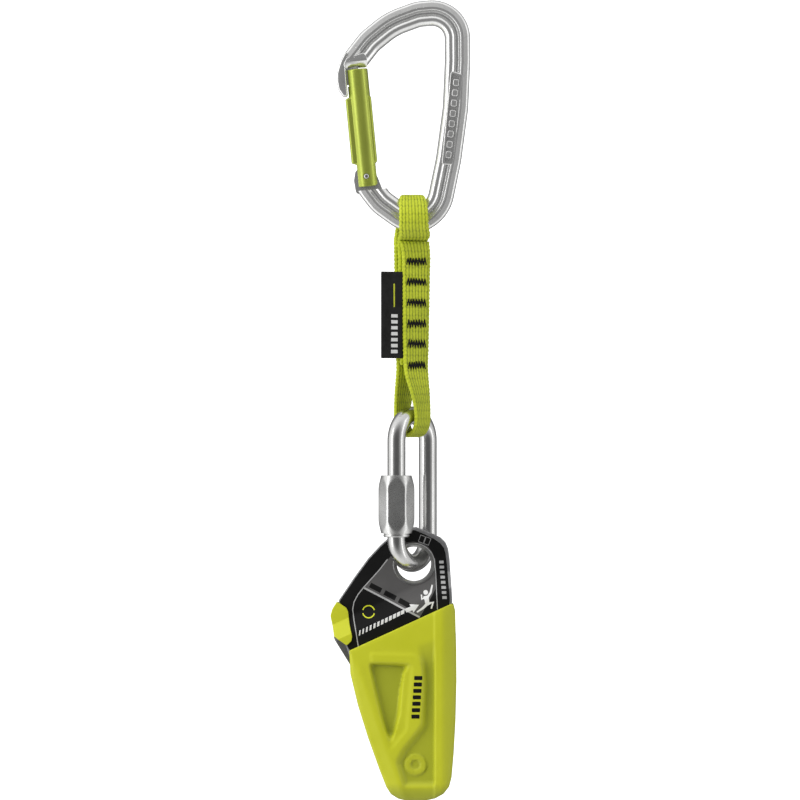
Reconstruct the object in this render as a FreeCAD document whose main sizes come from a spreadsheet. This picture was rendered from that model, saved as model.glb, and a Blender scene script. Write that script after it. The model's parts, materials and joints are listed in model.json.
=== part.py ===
import FreeCAD, Part
import Sketcher
import math
import os
from FreeCAD import Vector as V, Placement, Rotation

# Assisted-braking resistor on a short sewn sling: carabiner, sling, screw link and brake.
# Frame: +X to the right seen from the front, +Y to the back, +Z up.
# Origin: the point inside the top of the carabiner where it hangs on a bolt hanger.

doc = FreeCAD.newDocument("brake_draw")
sheet = doc.addObject("Spreadsheet::Sheet", "dims")
DIMS = [
    ("bar_half", 5.5), ("bar_depth", 3.9), ("gate_radius", 4.6), ("gate_length", 50.6), ("gate_bore", 1.85),
    ("rivet_radius", 1.2), ("rivet_half", 4.75), ("plunger_radius", 1.75), ("spring_wire", 0.25),
    ("web_thick", 1.9), ("web_width", 13.4), ("sling_x", -6.8), ("sling_top_z", -82.7), ("sling_bottom_z", -167.3),
    ("tag_width", 12.4), ("tag_height", 37.4), ("tag_thick", 1.1),
    ("rod_radius", 3.9), ("link_half_width", 11.0), ("link_top_z", -167.3), ("link_bottom_z", -230.8), ("link_yaw", 52.15),
    ("nut_flats", 13.8), ("nut_low_z", -217.8), ("nut_length", 24.8), ("nut_bore", 3.95), ("collar_radius", 5.6), ("collar_height", 1.6),
    ("mid_y", 0.8), ("plate_thick", 2.2), ("plate_gap", 0.1), ("flare", 5.75), ("hole_x", -6.05), ("hole_z", -231.12),
    ("eyelet_bore", 7.35), ("eyelet_outer", 8.15), ("eyelet_flange", 9.0), ("flange_thick", 0.3),
    ("slope_deg", 24.6), ("cover_front", 3.95), ("cover_wall", 1.9), ("seam_gap", 0.1),
    ("latch_travel", 1.5), ("latch_clear", 0.15), ("pin_radius", 1.2), ("screw_radius", 1.5), ("screw_head", 2.8),
]
for i, (name, value) in enumerate(DIMS):
    row = i + 1
    sheet.set("A%d" % row, name)
    sheet.set("B%d" % row, repr(value))
    sheet.setAlias("B%d" % row, name)
doc.recompute()
D = {name: float(sheet.get(name)) for name, value in DIMS}

NODES = []


def origin_plane(body, role):
    return [f for f in body.Origin.OriginFeatures if f.Role == role][0]


def new_body(label):
    body = doc.addObject("PartDesign::Body", label)
    body.Label = label
    NODES.append(body)
    return body


def new_sketch(body, name, role, geometry, offset=None):
    sketch = body.newObject("Sketcher::SketchObject", name)
    sketch.AttachmentSupport = [(origin_plane(body, role), "")]
    sketch.MapMode = "FlatFace"
    if offset is not None:
        sketch.AttachmentOffset = offset
    for g in geometry:
        sketch.addGeometry(g, False)
    return sketch


def poly(points):
    pts = [V(p[0], p[1], 0) for p in points]
    return [Part.LineSegment(pts[i], pts[(i + 1) % len(pts)]) for i in range(len(pts))]


def circle(x, y, r):
    return [Part.Circle(V(x, y, 0), V(0, 0, 1), r)]


def rounded(points, radii):
    """Closed outline of straight runs joined by tangent arcs; points and radii in millimetres."""
    n = len(points)
    P = [V(p[0], p[1], 0) for p in points]
    ends = []
    for i in range(n):
        a, b, c = P[i - 1], P[i], P[(i + 1) % n]
        r = radii[i] if isinstance(radii, (list, tuple)) else radii
        d1 = (a - b).normalize()
        d2 = (c - b).normalize()
        ang = d1.getAngle(d2)
        if r <= 0 or ang > math.radians(177):
            ends.append((b, b, None))
            continue
        t = r / math.tan(ang / 2)
        t = min(t, 0.48 * (a - b).Length, 0.48 * (c - b).Length)
        r = t * math.tan(ang / 2)
        bis = (d1 + d2).normalize()
        cen = b + bis * (r / math.sin(ang / 2))
        ends.append((b + d1 * t, b + d2 * t, cen - bis * r))
    out = []
    for i in range(n):
        s, e, m = ends[i]
        if m is not None:
            out.append(Part.Arc(s, m, e))
        nxt = ends[(i + 1) % n][0]
        if (nxt - e).Length > 1e-6:
            out.append(Part.LineSegment(e, nxt))
    return out


def pad(body, name, sketch, cell_or_value, reverse=False):
    f = body.newObject("PartDesign::Pad", name)
    f.Profile = sketch
    if isinstance(cell_or_value, str):
        f.setExpression("Length", cell_or_value)
    else:
        f.Length = cell_or_value
    f.Reversed = reverse
    return f


def pocket(body, name, sketch, length, reverse=False, both=False):
    doc.recompute()
    before = body.Shape.Volume
    f = body.newObject("PartDesign::Pocket", name)
    f.Profile = sketch
    f.Length = length
    if both:
        f.Midplane = True
    f.Reversed = reverse
    doc.recompute()
    if body.Shape.Volume > before - 1e-4:
        raise RuntimeError("pocket %s cuts nothing" % name)
    return f


def at_y(y):
    """Offset that puts an XZ sketch at the given Y; a pad from it runs towards -Y."""
    return Placement(V(0, 0, -y), Rotation())


ALPHA = D["slope_deg"]
SLOPE_O = V(*[(-15.74, -259.85)[0], 0, (-15.74, -259.85)[1]])


def along_slope(shift=0.0):
    """Sketch plane across the rope channel: local x is Y, local y is the height above the sloped edge."""
    base = V(0, SLOPE_O.z, SLOPE_O.x)
    return Placement(base, Rotation(V(1, 0, 0), -ALPHA))


def slope_d(x, z):
    """Height of a point above the sloped edge line."""
    a = math.radians(ALPHA)
    return -(x - SLOPE_O.x) * math.sin(a) + (z - SLOPE_O.z) * math.cos(a)


def feature(label, shape):
    f = doc.addObject("Part::Feature", label)
    f.Label = label
    f.Shape = shape
    NODES.append(f)
    return f


def prism(points, y0, y1, radii=0):
    edges = [g.toShape() for g in rounded(points, radii)]
    wire = Part.Wire(Part.__sortEdges__(edges))
    face = Part.Face(wire)
    face.rotate(V(0, 0, 0), V(1, 0, 0), 90)
    face.translate(V(0, y1, 0))
    return face.extrude(V(0, y0 - y1, 0))


def slope_prism(points, half=80.0):
    """Solid swept along the slope from a section given as (Y, height above the edge)."""
    a = math.radians(ALPHA)
    e1 = V(math.cos(a), 0, math.sin(a))
    e2 = V(-math.sin(a), 0, math.cos(a))
    pts = [SLOPE_O + e2 * p[1] + V(0, p[0], 0) - e1 * half for p in points]
    face = Part.Face(Part.makePolygon(pts + [pts[0]]))
    return face.extrude(e1 * (2 * half))


def helix_spring(r, wire, height, turns):
    path = Part.makeHelix(height / turns, height, r)
    start = path.Edges[0].valueAt(path.Edges[0].FirstParameter)
    tan = path.Edges[0].tangentAt(path.Edges[0].FirstParameter)
    section = Part.Wire([Part.makeCircle(wire, start, tan)])
    return Part.Wire(path).makePipeShell([section], True, True)


# ---------------------------------------------------------------- carabiner
MID = [(-32.03, -15.56), (-25.00, -6.52), (-15.72, 0.99), (-4.32, 5.16), (12.56, 6.66), (12.72, -14.78), (11.81, -35.09),
       (8.85, -57.31), (3.95, -80.99), (-8.06, -84.19), (-20.10, -75.56), (-24.62, -69.72), (-27.30, -64.50)]
MID_R = [0, 17.5, 28.7, 12.85, 10.95, 25.8, 34.4, 64.5, 14.1, 13.4, 16.0, 12.9, 0]


def run_and_arc(points, radii, y=0.0):
    edges = []
    prev = V(points[0][0], y, points[0][1])
    for i in range(1, len(points) - 1):
        a = V(points[i - 1][0], y, points[i - 1][1])
        b = V(points[i][0], y, points[i][1])
        c = V(points[i + 1][0], y, points[i + 1][1])
        d1, d2 = (a - b).normalize(), (c - b).normalize()
        ang = d1.getAngle(d2)
        t = radii[i] / math.tan(ang / 2)
        bis = (d1 + d2).normalize()
        cen = b + bis * (radii[i] / math.sin(ang / 2))
        p1, p2, pm = b + d1 * t, b + d2 * t, cen - bis * radii[i]
        edges.append(Part.makeLine(prev, p1))
        edges.append(Part.Arc(p1, pm, p2).toShape())
        prev = p2
    last = points[-1]
    edges.append(Part.makeLine(prev, V(last[0], y, last[1])))
    return Part.Wire(edges)


bar_path = run_and_arc(MID, MID_R)
hw, hd = D["bar_half"], D["bar_depth"]
# H section: (offset outwards, depth); a broad outer flange, a groove and a rounded inner rib
half_section = [(hw, 2.3), (hw - 1.2, hd), (2.0, hd - 0.2), (1.4, 2.0), (-0.6, 2.0), (-1.4, hd - 0.2), (-3.4, hd), (-5.0, 2.2)]
section = half_section + [(-hw, 0.0)] + [(r, -y) for r, y in reversed(half_section)]
p0 = V(MID[0][0], 0, MID[0][1])
t0 = (V(MID[1][0], 0, MID[1][1]) - p0).normalize()
n_out = V(-t0.z, 0, t0.x)          # outward normal at the start of the bar
sec_pts = [p0 + n_out * r + V(0, y, 0) for r, y in section]
bar = bar_path.makePipeShell([Part.makePolygon(sec_pts + [sec_pts[0]])], True, False)

# gate frame: local z along the gate, local x inwards
GATE_BASE = V(*[(-25.67, -68.84)[0], 0, (-25.67, -68.84)[1]])
GATE_TILT = -5.57
gate_place = Placement(GATE_BASE, Rotation(V(0, 1, 0), GATE_TILT))
PIVOT = V(*[(-26.45, -64.63)[0], 0, (-26.45, -64.63)[1]])
pl = gate_place.inverse().multVec(PIVOT)


def gate_box(x0, x1, y0, y1, z0, z1):
    b = Part.makeBox(x1 - x0, y1 - y0, z1 - z0, V(x0, y0, z0))
    b.Placement = gate_place.multiply(b.Placement)
    return b


body_solid = bar.cut(gate_box(-9, 9, -9, 9, -1.6, 24)).cut(gate_box(-9, 9, -9, 9, 36, 51.2))
tongue = prism([(-30.96, -71.64), (-31.82, -66.48), (-31.30, -62.82), (-29.84, -60.89), (-26.66, -60.20), (-23.43, -61.53), (-21.50, -65.19), (-18.49, -72.93), (-24.94, -74.22)], -1.9, 1.9, 1.5)
lip = prism([(-36.55, -13.80), (-38.87, -18.10), (-39.22, -23.05), (-38.53, -27.35), (-36.55, -30.27), (-34.40, -30.49), (-35.43, -17.46), (-32.25, -13.80)], -3.4, 3.4, 0.8)
key = gate_box(-6.2, 0.6, -1.55, 1.55, 44.2, 52.5)
spine_panel = prism([(9.72, -19.18), (15.14, -20.90), (10.84, -59.77), (5.76, -59.43)], -2.9, 2.9, 1.0)
body_solid = body_solid.fuse([tongue, lip, key, spine_panel])
rivet_cut = Part.makeCylinder(D["rivet_radius"], 12, PIVOT + V(0, -6, 0), V(0, 1, 0))
body_solid = body_solid.cut(rivet_cut)
feature("carabiner_body", body_solid)

R = D["gate_radius"]
gate = Part.makeCylinder(R, D["gate_length"])
wing = Part.makeBox(11.7, 5.8, 28.2, V(-6.3, -2.9, 10.0))
wing = wing.makeFillet(1.2, [e for e in wing.Edges if abs(e.tangentAt(e.FirstParameter).z) > 0.9])
gate = gate.fuse(wing)
keep = Part.makeCylinder(5.6, 20, V(pl.x, -10, pl.z), V(0, 1, 0)).fuse(Part.makeBox(30, 20, 60, V(-15, -10, pl.z)))
gate = gate.common(keep)
gate = gate.cut(Part.makeBox(20, 4.1, 11.6, V(-10, -2.05, -1)))
gate = gate.cut(Part.makeBox(7.2, 3.5, 9, V(-6.0, -1.75, 43.4)))
gate = gate.cut(Part.makeCylinder(D["gate_bore"], 24.5, V(0, 0, 9.5)))
gate = gate.cut(Part.makeCylinder(D["rivet_radius"] + 0.05, 14, V(pl.x, -7, pl.z), V(0, 1, 0)))
g = feature("carabiner_gate", gate.removeSplitter())
g.Placement = gate_place

rivet = new_body("gate_rivet")
s = new_sketch(rivet, "rivet_axis", "XZ_Plane", circle(PIVOT.x, PIVOT.z, D["rivet_radius"]), Placement(V(0, 0, -D["rivet_half"]), Rotation()))
s.addConstraint(Sketcher.Constraint("Radius", 0, D["rivet_radius"]))
s.setExpression("Constraints[0]", "dims.rivet_radius")
pad(rivet, "rivet_pad", s, "2 * dims.rivet_half")

plunger = feature("gate_plunger", Part.makeCylinder(D["plunger_radius"], 7.0, V(0, 0, 10.8)))
plunger.Placement = gate_place
spring = helix_spring(1.35, D["spring_wire"], 15.4, 11)
sp = feature("gate_spring", spring)
sp.Placement = gate_place.multiply(Placement(V(0, 0, 18.1), Rotation()))

# ---------------------------------------------------------------- sewn sling
W, T = D["web_width"], D["web_thick"]
SX = D["sling_x"]
YAW = [(0, -70.0, 2.0), (0, -88.4, 5.0), (0, -93.1, 20.0), (0, -98.5, 24.0), (0, -117.6, 30.0), (0, -139.1, 36.0), (0, -147.7, 40.0), (0, -160.6, 49.0), (0, -167.0, 52.15), (0, -190.0, 52.15)]
LAT = [(0, -70.0, 0.0), (0, -92.0, 0.0), (0, -93.5, 1.0), (0, -147.7, 0.45), (0, -160.6, 0.0), (0, -190.0, 0.0)]


def lookup(table, z):
    if z >= table[0][1]:
        return table[0][2]
    for (k0, z0, v0), (k1, z1, v1) in zip(table, table[1:]):
        if z >= z1:
            return v0 + (v1 - v0) * (z0 - z) / (z0 - z1)
    return table[-1][2]


zt, zb = D["sling_top_z"], D["sling_bottom_z"]
GAP = T + 0.06
front_leg = [(-GAP, z, 1) for z in (-92.5, -98.5, -106.0, -117.6, -128.0, -139.1, -146.6)]
low_front = [(-2.9, -151.5, 1), (-4.4, -157.0, 1), (-5.3, -162.0, 1)]
bottom = [(-5.6, zb + 1.0, 0), (-5.5, zb - 2.6, 0), (-4.75, zb - 5.4, 0), (-2.9, zb - 7.7, 0), (0.0, zb - 8.5, 0)]
bottom += [(-n, z, k) for n, z, k in reversed(bottom[:-1])]
low_back = [(-n, z, -1) for n, z, k in reversed(low_front)]
back_leg = [(GAP, z, -1) for z in (-146.6, -139.1, -128.0, -117.6, -106.0, -98.5, -93.5)]
RT = 8.45 + T / 2
top = []
for deg in (-50, -30, -10, 15, 40, 65, 90, 115, 140, 165, 190, 210, 230):
    top.append((RT * math.cos(math.radians(deg)), zt + RT * math.sin(math.radians(deg)), 0))
middle_leg = [(0.0, z, 0) for z in (-92.6, -98.5, -106.0, -117.6, -128.0, -139.1, -145.6)]
stations = front_leg + low_front + bottom + low_back + back_leg + top + middle_leg


def lateral(k, z, n):
    if k == 0:
        return 0.0
    return lookup(LAT, z) * (1.0 if n < 0 else -1.0)


def width_at(n, z):
    if z > zt:
        f = min(1.0, (z - zt) / RT)
        return W - 2.0 - 2.2 * f * f
    if z > zt - 7.0:
        return W - 2.0 * (z - zt + 7.0) / 7.0
    if z < zb + 3:
        return 10.4
    if z < -150:
        return W - 3.0 * (-150 - z) / (-150 - zb - 3)
    return W


wires = []
for i, (n, z, k) in enumerate(stations):
    th = math.radians(lookup(YAW, z))
    w = V(math.cos(th), math.sin(th), 0)
    nn = V(-math.sin(th), math.cos(th), 0)
    a = stations[max(i - 1, 0)]
    b = stations[min(i + 1, len(stations) - 1)]
    d = V(b[0] - a[0], b[1] - a[1], 0).normalize()
    t = nn * d.y + V(0, 0, -d.x)
    c = V(SX, 0, z) + nn * n + w * lateral(k, z, n)
    hw2, ht2 = width_at(n, z) / 2, T / 2
    q = [c + w * hw2 + t * ht2, c - w * hw2 + t * ht2, c - w * hw2 - t * ht2, c + w * hw2 - t * ht2]
    wires.append(Part.makePolygon(q + [q[0]]))
feature("sling_webbing", Part.makeLoft(wires, True, True))


def sling_point(u, n, z):
    th = math.radians(lookup(YAW, z))
    return V(SX, 0, z) + V(math.cos(th), math.sin(th), 0) * u + V(-math.sin(th), math.cos(th), 0) * n


# six zigzag bar tacks lying on the front layer
tacks = []
for z in (-101.2, -109.9, -118.8, -127.9, -136.5, -145.8):
    th = lookup(YAW, z)
    lat = lookup(LAT, z)
    bar_t = Part.makeBox(10.6, 0.3, 3.2, V(-5.3, -0.15, -1.6))
    bar_t.Placement = Placement(sling_point(lat - 0.3, -GAP - T / 2 - 0.22, z), Rotation(V(0, 0, 1), th))
    tacks.append(bar_t)
feature("bartack_stitches", Part.makeCompound(tacks))

tw, tt = D["tag_width"], D["tag_thick"]
tag_wires = []
for z in (-105.6, -112.0, -120.0, -128.0, -136.0, -142.8):
    th = math.radians(lookup(YAW, z))
    w = V(math.cos(th), math.sin(th), 0)
    nn = V(-math.sin(th), math.cos(th), 0)
    c = sling_point(lookup(LAT, z) - W / 2 - tw / 2 + 1.0, -GAP * 0.62, z)
    q = [c + w * (tw / 2) + nn * (tt / 2), c - w * (tw / 2) + nn * (tt / 2), c - w * (tw / 2) - nn * (tt / 2), c + w * (tw / 2) - nn * (tt / 2)]
    tag_wires.append(Part.makePolygon(q + [q[0]]))
feature("label_tag", Part.makeLoft(tag_wires, True, True))

# ---------------------------------------------------------------- screw link
LY = math.radians(D["link_yaw"])
U = V(math.cos(LY), math.sin(LY), 0)
C0 = V(SX, 0, 0)
lw, rr = D["link_half_width"], D["rod_radius"]
ztop, zbot = D["link_top_z"], D["link_bottom_z"]
nut0, nut1 = D["nut_low_z"], D["nut_low_z"] + D["nut_length"]
gap_low, gap_high = nut0 + 7.0, nut0 + 16.5


def link_pt(s_, z):
    return C0 + U * s_ + V(0, 0, z)


def half_turn(zc, sgn):
    return Part.Arc(link_pt(-lw, zc), link_pt(0, zc + sgn * lw), link_pt(lw, zc)).toShape()


path = Part.Wire([
    Part.makeLine(link_pt(-lw, gap_high), link_pt(-lw, ztop - lw)),
    half_turn(ztop - lw, 1),
    Part.makeLine(link_pt(lw, ztop - lw), link_pt(lw, zbot + lw)),
    Part.Arc(link_pt(lw, zbot + lw), link_pt(0, zbot), link_pt(-lw, zbot + lw)).toShape(),
    Part.makeLine(link_pt(-lw, zbot + lw), link_pt(-lw, gap_low)),
])
start_c = Part.Wire([Part.makeCircle(rr, link_pt(-lw, gap_high), V(0, 0, 1))])
link = path.makePipeShell([start_c], True, False)
feature("link_body", link)

nut = new_body("link_nut")
af = D["nut_flats"]
lx, ly = link_pt(-lw, 0).x, link_pt(-lw, 0).y
ac = af / math.sqrt(3)
hexa = [(lx + ac * math.cos(math.radians(60 * k)), ly + ac * math.sin(math.radians(60 * k))) for k in range(6)]
s = new_sketch(nut, "nut_hex", "XY_Plane", poly(hexa), Placement(V(0, 0, nut0), Rotation()))
pad(nut, "nut_pad", s, "dims.nut_length")
s = new_sketch(nut, "nut_collar", "XY_Plane", circle(lx, ly, D["collar_radius"]), Placement(V(0, 0, nut0 - D["collar_height"]), Rotation()))
pad(nut, "collar_pad", s, D["collar_height"] + 0.2)
s = new_sketch(nut, "nut_bore", "XY_Plane", circle(lx, ly, D["nut_bore"]), Placement(V(0, 0, nut0 - 4), Rotation()))
pocket(nut, "bore_cut", s, 40, reverse=True)
# chamfered hexagon ends: a ring of triangular section turned away at each end
for nm, zf, sg in (("low", nut0, 1), ("high", nut1, -1)):
    r0 = af / 2 - 0.2
    tri = poly([(lx + r0, zf - sg * 0.05), (lx + ac + 1.0, zf - sg * 0.05), (lx + ac + 1.0, zf + sg * 1.15 * (ac + 1.0 - r0)), ])
    sk2 = new_sketch(nut, "chamfer_" + nm, "XZ_Plane", tri, at_y(ly))
    doc.recompute()
    ln = nut.newObject("PartDesign::Line", "axis_" + nm)
    ln.MapMode = "Deactivated"
    ln.Placement = Placement(V(lx, ly, 0), Rotation())
    gr = nut.newObject("PartDesign::Groove", "turn_" + nm)
    gr.Profile = sk2
    gr.ReferenceAxis = (ln, [""])
    gr.Angle = 360
    doc.recompute()

# ---------------------------------------------------------------- brake plates
MY, PT, PG, FL = D["mid_y"], D["plate_thick"], D["plate_gap"], D["flare"]
HX, HZ = D["hole_x"], D["hole_z"]
y_in_f, y_in_b = MY - PG / 2, MY + PG / 2
y_out_f, y_out_b = y_in_f - PT, y_in_b + PT
UPPER = [(-38.38, -246.82), (-31.09, -236.07), (-25.71, -228.76), (-20.34, -223.00), (-16.51, -219.56), (-14.10, -217.62), (-11.31, -216.29), (-8.17, -215.52), (-4.99, -215.30),
         (1.50, -217.92), (5.42, -219.73), (7.65, -221.97), (8.69, -224.72), (9.29, -229.02), (10.36, -245.40)]
LOWER_F = [(10.36, -272.45), (9.72, -299.11), (8.17, -319.75), (5.80, -326.20), (-0.43, -330.50), (-8.60, -330.50), (-13.76, -328.78), (-15.91, -325.77), (-31.56, -277.61), (-34.66, -267.59), (-36.72, -262.56), (-37.84, -255.25)]
LOWER_B = [(10.36, -272.45), (9.72, -299.11), (8.17, -319.75), (5.80, -326.20), (-0.43, -330.50), (-8.60, -330.50), (-13.76, -328.78), (-15.91, -325.77), (-31.56, -277.61), (-33.33, -275.24), (-40.12, -264.28), (-40.68, -262.56), (-38.01, -259.55)]


def plate(label, lower, front):
    body = new_body(label)
    y_far = y_out_f - FL if front else y_out_b + FL
    y_near = y_in_f if front else y_in_b
    outline = rounded(UPPER + lower, 0.9)
    start = y_near if front else y_far
    s = new_sketch(body, "outline_" + label, "XZ_Plane", outline, at_y(start))
    pad(body, "slab_" + label, s, "dims.plate_thick + dims.flare")
    sg = -1 if front else 1
    o, i = (y_out_f, y_in_f) if front else (y_out_b, y_in_b)
    outside = [(o + sg * 12, 70), (o, 70), (o, 12.9), (o + sg * FL, 6.4), (o + sg * 12, 6.4)]
    inside = [(i - sg * 3, 11.8), (i, 11.8), (i + sg * FL, 5.3), (i + sg * FL, -95), (i - sg * 3, -95)]
    s1 = new_sketch(body, "outside_" + label, "YZ_Plane", poly(outside), along_slope())
    pocket(body, "thin_ear_" + label, s1, 300, both=True)
    s2 = new_sketch(body, "inside_" + label, "YZ_Plane", poly(inside), along_slope())
    pocket(body, "channel_" + label, s2, 300, both=True)
    hole_r = D["eyelet_outer"] + (0.05 if front else 0.0)
    s3 = new_sketch(body, "hole_" + label, "XZ_Plane", circle(HX, HZ, hole_r), at_y(20))
    pocket(body, "hole_cut_" + label, s3, 60, both=True)
    return body


front_plate = plate("front_plate", LOWER_F, True)
back_plate = plate("back_plate", LOWER_B, False)

# hollow rivet that lines the link hole and is the pivot of the two halves
eb, eo, ef, ft = D["eyelet_bore"], D["eyelet_outer"], D["eyelet_flange"], D["flange_thick"]
ya, yb = y_out_f - 0.03, y_out_b
prof = [(eb, ya - ft + 0.9), (eb + 0.9, ya - ft), (ef - 0.2, ya - ft), (ef, ya - ft + 0.2), (ef, ya), (eo, ya), (eo, yb), (ef, yb), (ef, yb + ft - 0.2), (ef - 0.2, yb + ft), (eb + 0.9, yb + ft), (eb, yb + ft - 0.9)]
eyelet = new_body("eyelet")
s = new_sketch(eyelet, "eyelet_profile", "YZ_Plane", poly([(y, r) for r, y in prof]))
rv = eyelet.newObject("PartDesign::Revolution", "eyelet_turn")
rv.Profile = s
rv.ReferenceAxis = (origin_plane(eyelet, "Y_Axis"), [""])
rv.Angle = 360
eyelet.Placement = Placement(V(HX, 0, HZ), Rotation())

# V-shaped brake jaws: one on each plate, meeting at the middle plane
JAW = [(-32.16, -273.31), (-28.98, -271.59), (9.72, -253.79), (9.80, -267.29), (-26.23, -285.35), (-29.93, -281.48)]


def jaw(label, front):
    sg = -1 if front else 1
    i = y_in_f if front else y_in_b
    far = i + sg * FL
    base = prism(JAW, min(i, far), max(i, far))
    vee = slope_prism([(far, -6.2), (i, -11.5), (i - sg * 3, -11.5), (i - sg * 3, 30), (far, 30)])
    return feature(label, base.cut(vee).removeSplitter())


jaw("front_jaw", True)
jaw("back_jaw", False)

# wear strip of the rope inlet, on the inner face of the back plate
guide = prism([(-40.16, -262.77), (-38.53, -262.64), (-33.76, -266.86), (-32.51, -269.01), (-32.08, -272.66), (-32.42, -276.06), (-33.15, -275.11), (-39.82, -264.36)], y_in_b + FL - 1.5, y_in_b + FL, 0.4)
guide = guide.common(slope_prism([(y_in_b - 2, 4.9), (y_in_b + FL + 2, 4.9), (y_in_b + FL + 2, -40), (y_in_b - 2, -40)]))
feature("rope_guide", guide)

# ---------------------------------------------------------------- moulded covers
COVER = [(-33.80, -268.11), (-15.74, -259.85), (10.75, -247.64), (11.70, -250.95), (12.13, -268.15), (12.21, -281.05), (11.78, -298.25), (11.01, -312.01), (10.11, -322.33), (9.03, -326.41),
         (6.67, -329.42), (3.01, -331.49), (-1.72, -332.65), (-8.60, -332.65), (-12.90, -331.62), (-15.91, -329.72), (-17.89, -326.63), (-20.94, -318.89), (-25.84, -305.13), (-30.14, -291.37), (-33.33, -278.04)]
INNER = [(-31.99, -255.25), (10.49, -235.90), (10.49, -272.45), (9.85, -299.11), (8.30, -319.83), (5.93, -326.37), (-0.34, -330.67), (-8.69, -330.67), (-13.93, -328.91), (-16.08, -325.85), (-31.82, -277.52), (-35.69, -267.29)]
POCKET = [(-25.33, -273.74), (-8.00, -274.38), (-11.09, -278.34), (-11.95, -283.15), (-12.60, -294.55), (-16.12, -308.61), (-19.39, -298.94), (-22.92, -284.49)]
RECESS = [(-1.55, -270.30), (1.63, -270.30), (1.38, -325.77), (-10.19, -325.94), (-13.07, -316.05), (-10.19, -310.50), (-1.76, -300.40), (-1.46, -281.48)]


def cover(label, front):
    body = new_body(label)
    sg = -1 if front else 1
    plate_face = (y_out_f if front else y_out_b) + sg * FL
    face = plate_face + sg * D["cover_front"]
    seam = MY + sg * D["seam_gap"] / 2
    top_y, thick = (seam, abs(face - seam)) if front else (face, abs(face - seam))
    s = new_sketch(body, "outline_" + label, "XZ_Plane", rounded(COVER, [0.6, 0, 1.2] + [0.8] * (len(COVER) - 3)), at_y(top_y))
    slab = pad(body, "slab_" + label, s, thick)
    doc.recompute()
    rim = ["Edge%d" % (i + 1) for i, e in enumerate(slab.Shape.Edges) if abs(e.BoundBox.YMin - face) < 1e-3 and abs(e.BoundBox.YMax - face) < 1e-3]
    rnd = body.newObject("PartDesign::Fillet", "rim_" + label)
    rnd.Base = (slab, rim)
    rnd.Radius = 1.5
    doc.recompute()
    s = new_sketch(body, "seat_" + label, "XZ_Plane", poly(INNER), at_y(seam - sg * 1))
    pocket(body, "seat_cut_" + label, s, abs(plate_face - seam) + 1.03, reverse=front)
    c = plate_face
    s = new_sketch(body, "rope_" + label, "YZ_Plane", poly([(c + sg * 0.03, 8), (c + sg * 0.03, -12.5), (seam - sg * 2, -12.5), (seam - sg * 2, 8)]), along_slope())
    pocket(body, "rope_cut_" + label, s, 300, both=True)
    for nm, pts, dep in (("pocket", POCKET, 2.2), ("recess", RECESS, 1.6)):
        s = new_sketch(body, nm + "_" + label, "XZ_Plane", rounded(pts, 0.7), at_y(face + sg * 1))
        pocket(body, nm + "_cut_" + label, s, dep + 1, reverse=not front)
    s = new_sketch(body, "ring_" + label, "XZ_Plane", circle((-5.38, -316.95)[0], (-5.38, -316.95)[1], 3.8) + circle((-5.38, -316.95)[0], (-5.38, -316.95)[1], 1.9), at_y(face - sg * 1.65))
    pad(body, "ring_pad_" + label, s, 0.75, reverse=not front)
    return body


front_cover = cover("front_cover", True)
back_cover = cover("back_cover", False)

# fastener places in the X-Z plane
COVER_FIX = [(-23.00, -294.81), (6.02, -275.89), (6.02, -312.01)]
JAW_FIX = [(-18.06, -275.67), (1.29, -266.86)]
POST = (-3.87, -320.18)


def drill(body, name, centres, r, y0, depth, toward_front):
    geo = []
    for x, z in centres:
        geo += circle(x, z, r)
    s = new_sketch(body, name + "_places", "XZ_Plane", geo, at_y(y0))
    return pocket(body, name, s, depth, reverse=toward_front)


lo_f, lo_b = y_in_f - FL, y_in_b + FL            # inner faces of the plates below the flare
of_f, of_b = y_out_f - FL, y_out_b + FL          # outer faces of the plates below the flare
sr = D["screw_radius"]
drill(front_plate, "fix_holes_front", COVER_FIX + JAW_FIX, sr, lo_f + 1, PT + 2, True)
drill(back_plate, "fix_holes_back", COVER_FIX + JAW_FIX, sr, lo_b - 1, PT + 2, False)
drill(front_cover, "fix_blind_front", COVER_FIX, sr, of_f + 1, 3.2, True)
face_b = of_b + D["cover_front"]
drill(back_cover, "fix_through_back", COVER_FIX, sr, of_b - 1, D["cover_front"] + 2, False)
drill(back_cover, "fix_heads_back", COVER_FIX, D["screw_head"] + 0.05, face_b - 1.2, 3, False)


def pins(label, centres, r, y0, y1):
    body = new_body(label)
    geo = []
    for x, z in centres:
        geo += circle(x, z, r)
    s = new_sketch(body, "places_" + label, "XZ_Plane", geo, at_y(y1))
    pad(body, "shanks_" + label, s, y1 - y0)
    return body


def cyl_y(x, z, r, y0, y1):
    return Part.makeCylinder(r, y1 - y0, V(x, y0, z), V(0, 1, 0))


feature("front_cover_rivets", Part.makeCompound([cyl_y(x, z, sr, of_f - 2.15, lo_f).fuse(cyl_y(x, z, 2.5, lo_f, lo_f + 0.6)).removeSplitter() for x, z in COVER_FIX]))


def screw(x, z):
    hexa = [V(x + 1.3 * math.cos(math.radians(60 * k)), face_b - 1.0, z + 1.3 * math.sin(math.radians(60 * k))) for k in range(7)]
    socket = Part.Face(Part.makePolygon(hexa)).extrude(V(0, 2, 0))
    return cyl_y(x, z, sr, lo_b, face_b - 1.0).fuse(cyl_y(x, z, D["screw_head"], face_b - 1.2, face_b - 0.1)).removeSplitter().cut(socket)


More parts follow.
